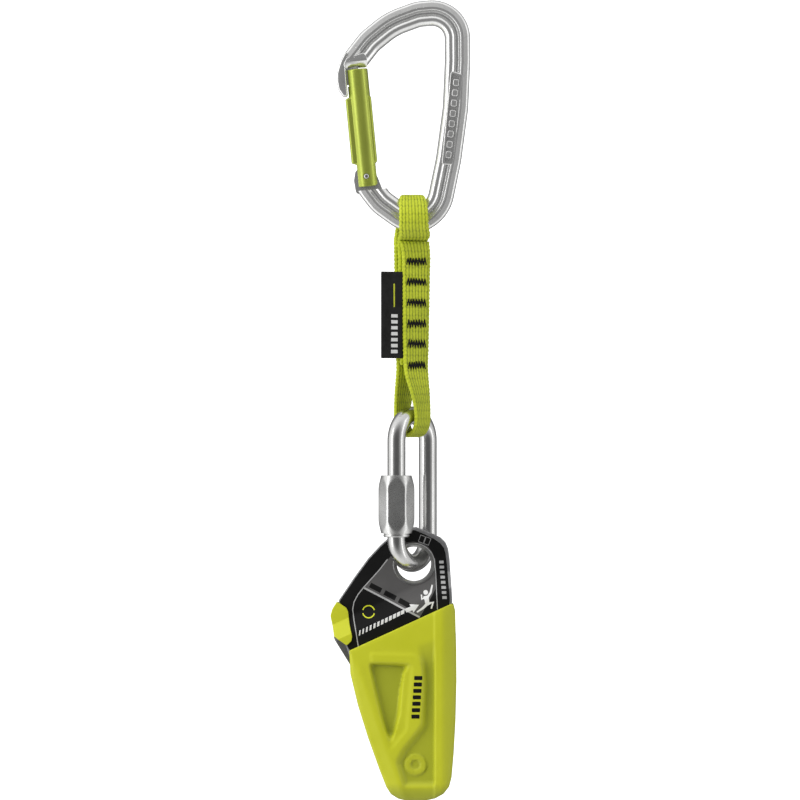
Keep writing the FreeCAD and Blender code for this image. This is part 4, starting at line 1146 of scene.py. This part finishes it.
for q in (A, B):
    for i in range(4):
        lines.append(stroke([q[i], q[(i + 1) % 4]], 0.2))

white = []
P0, P1 = Vector((-29.28, -260.49)), Vector((-10.92, -251.64))
run = (P1 - P0).normalized()
cross = Vector((-run.y, run.x))
NBAR = 12
for i in range(NBAR):
    q = i / (NBAR - 1)
    c = P0 + (P1 - P0) * (q ** 1.06)
    tall = 2.3 - 0.5 * q
    wide = 0.62 + 1.05 * q
    tilt_ = Vector((run.x * wide / 2, run.y * wide / 2))
    up = Vector((0.10 - 0.02 * q, 1.0)) * (tall / 2)
    white.append([c - tilt_ - up, c + tilt_ - up, c + tilt_ + up, c - tilt_ + up])
c = P1 + run * 1.7
tip = Vector((-3.87, -248.45))
sh0 = c - run * 0.3
sh1 = tip - run * 3.6
white.append([sh0 - cross * 0.85, sh1 - cross * 0.85, sh1 - cross * 2.0, tip, sh1 + cross * 2.0, sh1 + cross * 0.85, sh0 + cross * 0.85])
# plain stick figure on the way up
hx_, hz_ = (-1.03, -243.21)
white.append([Vector((hx_ + 1.0 * math.cos(a), hz_ + 1.0 * math.sin(a))) for a in np.linspace(0, 2 * math.pi, 18, endpoint=False)])
for pts, ws in (
    ([(-0.95, -244.67), (-0.52, -246.56), (-0.26, -248.37)], [2.3, 1.9, 1.8]),
    ([(-0.26, -245.36), (1.12, -243.21), (1.81, -240.03)], [1.0, 0.9, 0.6]),
    ([(-1.29, -245.27), (-2.67, -246.05), (-2.84, -244.15)], [0.9, 0.85, 0.6]),
    ([(-0.17, -248.11), (2.15, -247.42), (1.38, -250.09)], [1.3, 1.1, 0.6]),
    ([(-0.43, -248.11), (-2.24, -249.92), (-4.82, -251.64)], [1.3, 1.0, 0.6]),
):
    white.append(stroke(pts, 0.6, ws))
# plain marks: two half rings, three bars in the grey field and a row of ticks
RC = Vector((-25.54, -251.59))
lime = [stroke([RC + Vector((2.55 * math.cos(a), 2.55 * math.sin(a))) for a in np.radians(np.linspace(a0, a0 + 150, 16))], 0.5) for a0 in (15, 195)]
bars = []
g0, g1 = Vector((-27.39, -241.44)), Vector((-3.61, -253.79))
gd = (g1 - g0).normalized()
gn = Vector((-gd.y, gd.x))
for a0, a1 in ((1.6, 7.0), (8.6, 14.0), (15.6, 21.0)):
    bars.append([g0 + gd * a0 + gn * 1.2, g0 + gd * a1 + gn * 1.2, g0 + gd * a1 + gn * 3.4, g0 + gd * a0 + gn * 3.4])
ticks = []
for q in np.linspace(0, 1, 8):
    c = Vector((5.76, -230.31)).lerp(Vector((7.05, -245.36)), q)
    ticks.append([c + Vector((-0.95, -0.6)), c + Vector((0.95, -0.6)), c + Vector((0.95, 0.6)), c + Vector((-0.95, 0.6))])
PRINTS = [(round_outline(BLACK, 0.4, 0.7), 1), (round_outline(GREY, 0.0, 0.7), 2)]
PRINTS += [(round_outline(q, 0.0, 0.5), 3) for q in lines]
PRINTS += [(round_outline(q, 0.0, 0.5), 1) for q in bars]
PRINTS += [(round_outline(q, 0.0, 0.5), 3) for q in ticks]
PRINTS += [(round_outline(q, 0.0, 0.5), 5) for q in lime]
PRINTS += [(round_outline(q, 0.0, 0.4), 4) for q in white]
PLATE_MATS = [M_EDGE, M_BLACK, M_GREY, M_LINE, M_WHITE, M_LIME]
BACK_BLACK = BLACK[:-3] + [(-35.26, -267.72), (-37.20, -262.56), (-37.24, -255.68)]
plate("front_plate_pressed", LOWER_F, True, "front_half", "front_plate", PLATE_MATS, PRINTS)
plate("back_plate_pressed", LOWER_B, False, "back_half", "back_plate", PLATE_MATS[:2], [(round_outline(BACK_BLACK, 0.4, 0.7), 1)])

# ------------------------------------------------------------------ moulded covers
COVER = [(-33.80, -268.11), (-15.74, -259.85), (10.75, -247.64), (11.70, -250.95), (12.13, -268.15), (12.21, -281.05), (11.78, -298.25), (11.01, -312.01), (10.11, -322.33), (9.03, -326.41),
         (6.67, -329.42), (3.01, -331.49), (-1.72, -332.65), (-8.60, -332.65), (-12.90, -331.62), (-15.91, -329.72), (-17.89, -326.63), (-20.94, -318.89), (-25.84, -305.13), (-30.14, -291.37), (-33.33, -278.04)]
INNER = [(-31.99, -255.25), (10.49, -235.90), (10.49, -272.45), (9.85, -299.11), (8.30, -319.83), (5.93, -326.37), (-0.34, -330.67), (-8.69, -330.67), (-13.93, -328.91), (-16.08, -325.85), (-31.82, -277.52), (-35.69, -267.29)]
POCKET = [(-25.63, -273.14), (-7.31, -273.65), (-10.06, -277.82), (-10.84, -283.20), (-11.61, -294.81), (-15.82, -309.64), (-19.61, -298.94), (-23.39, -284.49)]
POCKET_FLOOR = [(-24.17, -274.43), (-9.89, -274.94), (-11.27, -278.47), (-12.47, -285.35), (-13.50, -294.38), (-16.08, -307.06), (-18.66, -297.39), (-21.50, -285.78)]
RECESS = [(-5.16, -265.57), (7.74, -260.41), (7.74, -326.03), (-10.49, -326.28), (-13.50, -316.05), (-10.54, -310.29), (-2.67, -300.40), (-2.06, -281.48), (-3.01, -272.45)]
RIDGE = [(-24.94, -268.84), (-5.80, -269.35), (-2.75, -271.59), (-1.55, -275.89), (-1.38, -289.65), (-2.41, -299.84), (-10.19, -309.69), (-13.76, -315.45), (-17.20, -311.15), (-9.68, -302.03), (-8.00, -285.35), (-7.14, -274.38), (-24.29, -273.14)]
RX, RZ = (-5.38, -316.95)
COVER_OUT = round_outline(COVER, [0.6, 0, 1.2] + [1.6] * (len(COVER) - 3), 0.5)
POCKET_R = round_outline(POCKET, [1.2, 0.6, 1.5, 1.5, 1.5, 1.0, 3, 3], 0.4)
FLOOR_R = round_outline(POCKET_FLOOR, 1.0, 0.4)
RECESS_R = round_outline(RECESS, [2.5, 1, 1.5, 1.5, 2.5, 3, 4, 8, 4], 0.4)
RIDGE_R = round_outline(RIDGE, [1, 3.5, 3.5, 4, 8, 5, 2.5, 1.5, 2, 4, 3, 1, 1], 0.4)


def cover_depth(x, z, dist):
    """How far the moulding lies behind its highest face."""
    d = slope_d(x, z)
    near_top = np.clip((d + 2.2) / 2.2, 0, 1)
    base = 0.55 + 0 * x
    ridge = sstep(-0.9, 1.3, poly_distance(x, z, RIDGE_R))
    base = base * (1 - ridge)
    # outside of the ridge, the field rises softly to the left edge band
    lb = (x - (-33.33, -278.04)[0]) * 0.943 + (z - (-33.33, -278.04)[1]) * 0.332
    left = np.exp(-((lb - 4.6) / 1.7) ** 2) * 0.42
    base = base - left * (1 - ridge) * sstep(-3, -10, d)
    band = sstep((2.06, 11.35)[0], (3.10, 11.35)[0], x)
    base = base * (1 - band)
    # right-hand bevel, left-hand bevel and rounded foot
    bev_r = 2.6 * np.clip((x - (5.59, 11.35)[0]) / 6.2, 0, 1) ** 1.25
    drop = edge_drop(dist, 1.7) * (1 - near_top) + edge_drop(dist, 0.6) * near_top
    left_bev = 1.15 * (1 - np.clip((lb + 0.25) / 3.6, 0, 1)) ** 1.3 * (1 - near_top)
    foot = 2.6 * np.clip(((-184.04, -325.34)[1] - z) / 8.0, 0, 1) ** 1.4
    # pocket with sloping walls
    inp = poly_distance(x, z, POCKET_R)
    inf = poly_distance(x, z, FLOOR_R)
    t = np.clip(inp / np.maximum(inp - inf, 1e-6), 0, 1)
    t = np.where(inf > 0, 1.0, np.where(inp <= 0, 0.0, t))
    pocket = 2.9 * (t * t * (3 - 2 * t) * 0.6 + t * 0.4)
    ch = poly_distance(x, z, RECESS_R)
    rec = 2.1 * sstep(-0.8, 2.6, ch) * (1 - band) * (1 - sstep((-184.04, -277.61)[1], (-184.04, -263.85)[1], z))
    r = np.hypot(x - RX, z - RZ)
    ring = sstep(4.9, 4.35, r) * sstep(1.7, 2.35, r) * 0.8
    total = base + bev_r + drop + left_bev + foot
    total = total + rec - ring * sstep(0.5, 2, ch)
    total = total + pocket
    n_ = 0.02 * np.sin(x * 0.9 + 1.3) * np.cos(z * 0.7)
    return total + n_


def cover_painted_shade(x, z):
    """Painted shade in the colour of the moulding: 0 on the outer faces, towards 1 in the hollows, at the foot and on
    the right-hand side.
    """
    inf = poly_distance(x, z, FLOOR_R)
    inp = poly_distance(x, z, POCKET_R)
    t = np.where(inf > 0, 1.0, np.clip(inp / np.maximum(inp - inf, 1e-6), 0, 1))
    # the pocket's right-hand wall faces the light
    wall = sstep(0.15, 0.9, t) * (1 - 0.75 * np.where(inf < 0, sstep((-13.76, 11.35)[0], (-12.47, 11.35)[0], x), 0))
    ch = poly_distance(x, z, RECESS_R)
    rec = sstep(-0.8, 2.4, ch) * (1 - sstep((2.32, 11.35)[0], (2.97, 11.35)[0], x)) * (0.80 + 0.2 * sstep((-184.04, -306.85)[1], (-184.04, -285.35)[1], z)) * (0.35 + 0.65 * (1 - sstep((-184.04, -277.61)[1], (-184.04, -266.43)[1], z)))
    r = np.hypot(x - RX, z - RZ)
    rec = rec * (1 - 0.45 * sstep(5.0, 4.4, r) * sstep(1.7, 2.2, r))
    # painted shade: darker towards the bottom and on the right-hand side
    foot = 0.95 * sstep((-184.04, -324.05)[1], (-184.04, -330.50)[1], z)
    right = 0.28 * sstep((5.80, 11.35)[0], (8.17, 11.35)[0], x)
    return np.clip(np.maximum(np.maximum(wall, rec), np.maximum(foot, right)), 0, 1)


def cover(name, front, body_name, node):
    sg = -1 if front else 1
    face = (Y_OUT_F if front else Y_OUT_B) + sg * (FL + 3.95)
    seam = MID_Y + sg * 0.05
    plate_face = (Y_OUT_F if front else Y_OUT_B) + sg * FL
    ob = patch(name, COVER_OUT, lambda x, z, d: face - sg * cover_depth(x, z, d), 0.62, (0.1, 0.25, 0.45, 0.7, 1.0, 1.35))
    close_back(ob, lambda x, z: seam)
    a, b = sorted((seam - sg * 1.0, plate_face + sg * 0.03))
    boolean(ob, extrude_outline("inner", [Vector(p) for p in INNER], a, b))
    # rope channel along the slope
    ca, sa = math.cos(SLOPE), math.sin(SLOPE)
    M = Matrix(((ca, 0, -sa, SO[0]), (0, 1, 0, 0), (sa, 0, ca, SO[1]), (0, 0, 0, 1)))
    boolean(ob, box_mesh("rope", (-90, a, -12.5), (90, b, 9.0), M))
    if not front:
        for x, z in (((-23.00, -294.81)), ((6.02, -275.89)), ((6.02, -312.01))):
            boolean(ob, cylinder_mesh("h", 2.85, (x, face - 1.2, z), (x, face + 2, z)))
            boolean(ob, cylinder_mesh("h2", 1.5, (x, face - 6, z), (x, face + 2, z), 32))
    smooth_by_angle(ob, 46)
    # painted shade baked into a per-vertex attribute for the moulding's colour; faces far behind the front face get a
    # fixed light shade
    co = np.zeros(len(ob.data.vertices) * 3)
    ob.data.vertices.foreach_get("co", co)
    co = co.reshape(-1, 3) / MM
    cover_shade_values = cover_painted_shade(co[:, 0], co[:, 2])
    deep = np.abs(co[:, 1] - face) > 5.0
    cover_shade_values[deep] = 0.15
    at_ = ob.data.attributes.new("painted_shade", "FLOAT", "POINT")
    at_.data.foreach_set("value", cover_shade_values.astype(np.float32))
    return finish_piece(ob, body_name, M_COVER, (node,))


cover("front_cover_moulded", True, "front_half", "front_cover")
cover("back_cover_moulded", False, "back_half", "back_cover")
dashes = []
top_face = Y_OUT_F - FL - 3.95
for k in range(7):
    q0, q1 = Vector((-4.21, -279.67)), Vector((-5.42, -296.18))
    c_ = q0.lerp(q1, k / 6)
    o_ = [c_ + Vector((a_, b_)) for a_, b_ in ((-1.75, -0.85), (1.75, -0.85), (1.75, 0.85), (-1.75, 0.85))]
    dashes.append(extrude_outline("ds", round_outline(o_, 0.3, 0.3), top_face - 0.07, top_face + 0.5))
dm = join(dashes, "front_cover_dashes")
finish_piece(dm, "front_half", M_BLACK, ())

# ------------------------------------------------------------------ catch tab: the CAD sheet with its edges broken
src = NODES["latch_tab"]
me = src.data.copy()
tab = bpy.data.objects.new("latch_tab_pressed", me)
scene.collection.objects.link(tab)
remesh(tab, 0.17, 14, 0.5)
finish_piece(tab, "latch", M_COVER, ("latch_tab",))

# ------------------------------------------------------------------ springs: copies of the CAD coils, each on the body that carries it
def spring(node, name, body, push):
    """push, the direction at rest in which the moving part presses on the coil, is not used; the coil keeps its CAD
    shape.
    """
    ob = bpy.data.objects.new(name, NODES[node].data.copy())
    scene.collection.objects.link(ob)
    me = ob.data
    me.polygons.foreach_set("use_smooth", [True] * len(me.polygons))
    finish_piece(ob, body, M_STEEL, (node,))
    bpy.context.view_layer.update()
    co = np.zeros(len(me.vertices) * 3)
    me.vertices.foreach_get("co", co)
    co = co.reshape(-1, 3)
    push = Vector(push).normalized()
    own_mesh(ob)
    return ob


def centre(node):
    me = NODES[node].data
    co = np.zeros(len(me.vertices) * 3)
    me.vertices.foreach_get("co", co)
    return Vector(co.reshape(-1, 3).mean(axis=0))


spring("latch_spring", "latch_spring_coil", "latch", (1, 0, 0))
gdir = (GATE_M.to_3x3() @ Vector((0, 0, 1))).normalized()
if (centre("gate_spring") - centre("gate_plunger")).dot(gdir) < 0:
    gdir = -gdir
spring("gate_spring", "gate_spring_coil", "gate", gdir)

# ------------------------------------------------------------------ CAD parts kept, with their own metals
KEEP = {"gate_rivet": M_STEEL, "gate_plunger": M_STEEL, "eyelet": M_BRUSHED, "front_jaw": M_JAW, "back_jaw": M_JAW,
        "rope_guide": M_BRUSHED, "front_cover_rivets": M_BRUSHED, "back_cover_screws": M_BRUSHED, "front_jaw_rivets": M_BRUSHED, "back_jaw_rivets": M_BRUSHED,
        "front_spacer": M_BRUSHED, "back_spacer": M_BRUSHED, "latch_pin": M_BRUSHED}
for nm, mt in KEEP.items():
    me = NODES[nm].data
    me.materials.clear()
    me.materials.append(mt)

# ------------------------------------------------------------------ stage, lights and camera (metres)
CAM_X, CAM_Z, CAM_D = -0.01204, -0.16067, 2.4
LIGHT = 0.22


def area(name, loc, target, size, power, color=(1, 1, 1), spread=180, glossy=True):
    l = bpy.data.lights.new(name, "AREA")
    l.shape = "RECTANGLE"
    l.size, l.size_y = size
    l.energy = power * LIGHT
    l.color = color
    l.spread = math.radians(spread)
    o = bpy.data.objects.new(name, l)
    scene.collection.objects.link(o)
    o.location = loc
    d = Vector(target) - Vector(loc)
    o.rotation_euler = d.to_track_quat("-Z", "Y").to_euler()
    o.visible_glossy = glossy
    return o


mid = (-0.01, 0, -0.165)
area("key_left", (-1.10, -0.95, 0.42), mid, (0.6, 0.6), 38, glossy=False)
area("strip_left", (-0.75, -0.42, -0.12), mid, (0.26, 1.1), 5)
area("strip_right", (0.85, -0.30, -0.12), mid, (0.22, 1.1), 3.5)
area("top", (0.0, -0.15, 0.75), mid, (0.8, 0.5), 8, glossy=False)
area("front_soft", (-0.35, -2.2, 0.9), mid, (0.7, 0.5), 46, glossy=False)

w = bpy.data.worlds.new("studio_world")
scene.world = w
w.use_nodes = True
nt = w.node_tree
for n_ in list(nt.nodes):
    nt.nodes.remove(n_)
out = nt.nodes.new("ShaderNodeOutputWorld")
bg = nt.nodes.new("ShaderNodeBackground")
tc = nt.nodes.new("ShaderNodeTexCoord")
sp = nt.nodes.new("ShaderNodeSeparateXYZ")
nt.links.new(tc.outputs["Generated"], sp.inputs[0])
# a light tent: dark by the lens, bright side walls, greyer towards the back
mr = nt.nodes.new("ShaderNodeMapRange")
mr.inputs["From Min"].default_value = -1.0
mr.inputs["From Max"].default_value = 1.0
nt.links.new(sp.outputs[1], mr.inputs[0])
rp = ramp(nt, mr.outputs[0], [(0.0, (0.12,) * 3), (0.06, (0.16,) * 3), (0.18, (0.62,) * 3), (0.28, (1.0,) * 3), (0.58, (1.0,) * 3), (0.70, (0.55,) * 3), (0.80, (0.24,) * 3), (0.93, (0.16,) * 3), (1.0, (0.22,) * 3)])
mx = nt.nodes.new("ShaderNodeMapRange")
mx.inputs["From Min"].default_value = -1.0
mx.inputs["From Max"].default_value = 1.0
mx.inputs["To Min"].default_value = 1.15
mx.inputs["To Max"].default_value = 0.80
nt.links.new(sp.outputs[0], mx.inputs[0])
ml = nt.nodes.new("ShaderNodeMix")
ml.data_type = "RGBA"
ml.blend_type = "MULTIPLY"
ml.inputs[0].default_value = 1.0
fz = nt.nodes.new("ShaderNodeMapRange")
fz.inputs["From Min"].default_value = -0.95
fz.inputs["From Max"].default_value = -0.25
fz.inputs["To Min"].default_value = 0.5
fz.inputs["To Max"].default_value = 0.0
nt.links.new(sp.outputs[2], fz.inputs[0])
lg = nt.nodes.new("ShaderNodeMix")
lg.data_type = "RGBA"
lg.blend_type = "LIGHTEN"
lg.inputs[0].default_value = 1.0
nt.links.new(rp.outputs[0], lg.inputs[6])
nt.links.new(fz.outputs[0], lg.inputs[7])
nt.links.new(lg.outputs[2], ml.inputs[6])
cb = nt.nodes.new("ShaderNodeCombineXYZ")
for k in range(3):
    nt.links.new(mx.outputs[0], cb.inputs[k])
nt.links.new(cb.outputs[0], ml.inputs[7])
cone = nt.nodes.new("ShaderNodeMapRange")
cone.inputs["From Min"].default_value = 0.9925
cone.inputs["From Max"].default_value = 0.9943
cone.inputs["To Max"].default_value = 1.35
nt.links.new(sp.outputs[1], cone.inputs[0])
cc = nt.nodes.new("ShaderNodeCombineXYZ")
for k in range(3):
    nt.links.new(cone.outputs[0], cc.inputs[k])
ad = nt.nodes.new("ShaderNodeVectorMath")
ad.operation = "ADD"
nt.links.new(ml.outputs[2], ad.inputs[0])
nt.links.new(cc.outputs[0], ad.inputs[1])
nt.links.new(ad.outputs[0], bg.inputs["Color"])
bg.inputs["Strength"].default_value = 0.92
nt.links.new(bg.outputs[0], out.inputs[0])

# a plain pale floor well below the hanging chain; it gives no light back to the object
fm = bpy.data.materials.new("pale_floor")
fm.use_nodes = True
fb = fm.node_tree.nodes["Principled BSDF"]
fb.inputs["Base Color"].default_value = (0.88, 0.88, 0.87, 1.0)
fb.inputs["Roughness"].default_value = 0.85
fb.inputs["Specular IOR Level"].default_value = 0.2
fr, fz_ = 3.4, CAM_Z - 0.45
ring = [(CAM_X + fr * math.cos(2 * math.pi * k / 96), fr * math.sin(2 * math.pi * k / 96), fz_) for k in range(96)]
me = bpy.data.meshes.new("floor")
me.from_pydata(ring, [], [list(range(96))])
me.update()
me.materials.append(fm)
floor = bpy.data.objects.new("floor", me)
scene.collection.objects.link(floor)
floor.visible_diffuse = False
floor.visible_glossy = False
floor.visible_shadow = False

cam = bpy.data.cameras.new("photo_camera")
cam.sensor_width = 36
cam.lens = 36 * CAM_D / 0.344
cam.clip_end = 20
co = bpy.data.objects.new("photo_camera", cam)
scene.collection.objects.link(co)
co.location = (CAM_X, -CAM_D, CAM_Z)
co.rotation_euler = (math.radians(90), 0, 0)
scene.camera = co
scene.view_settings.view_transform = "Standard"
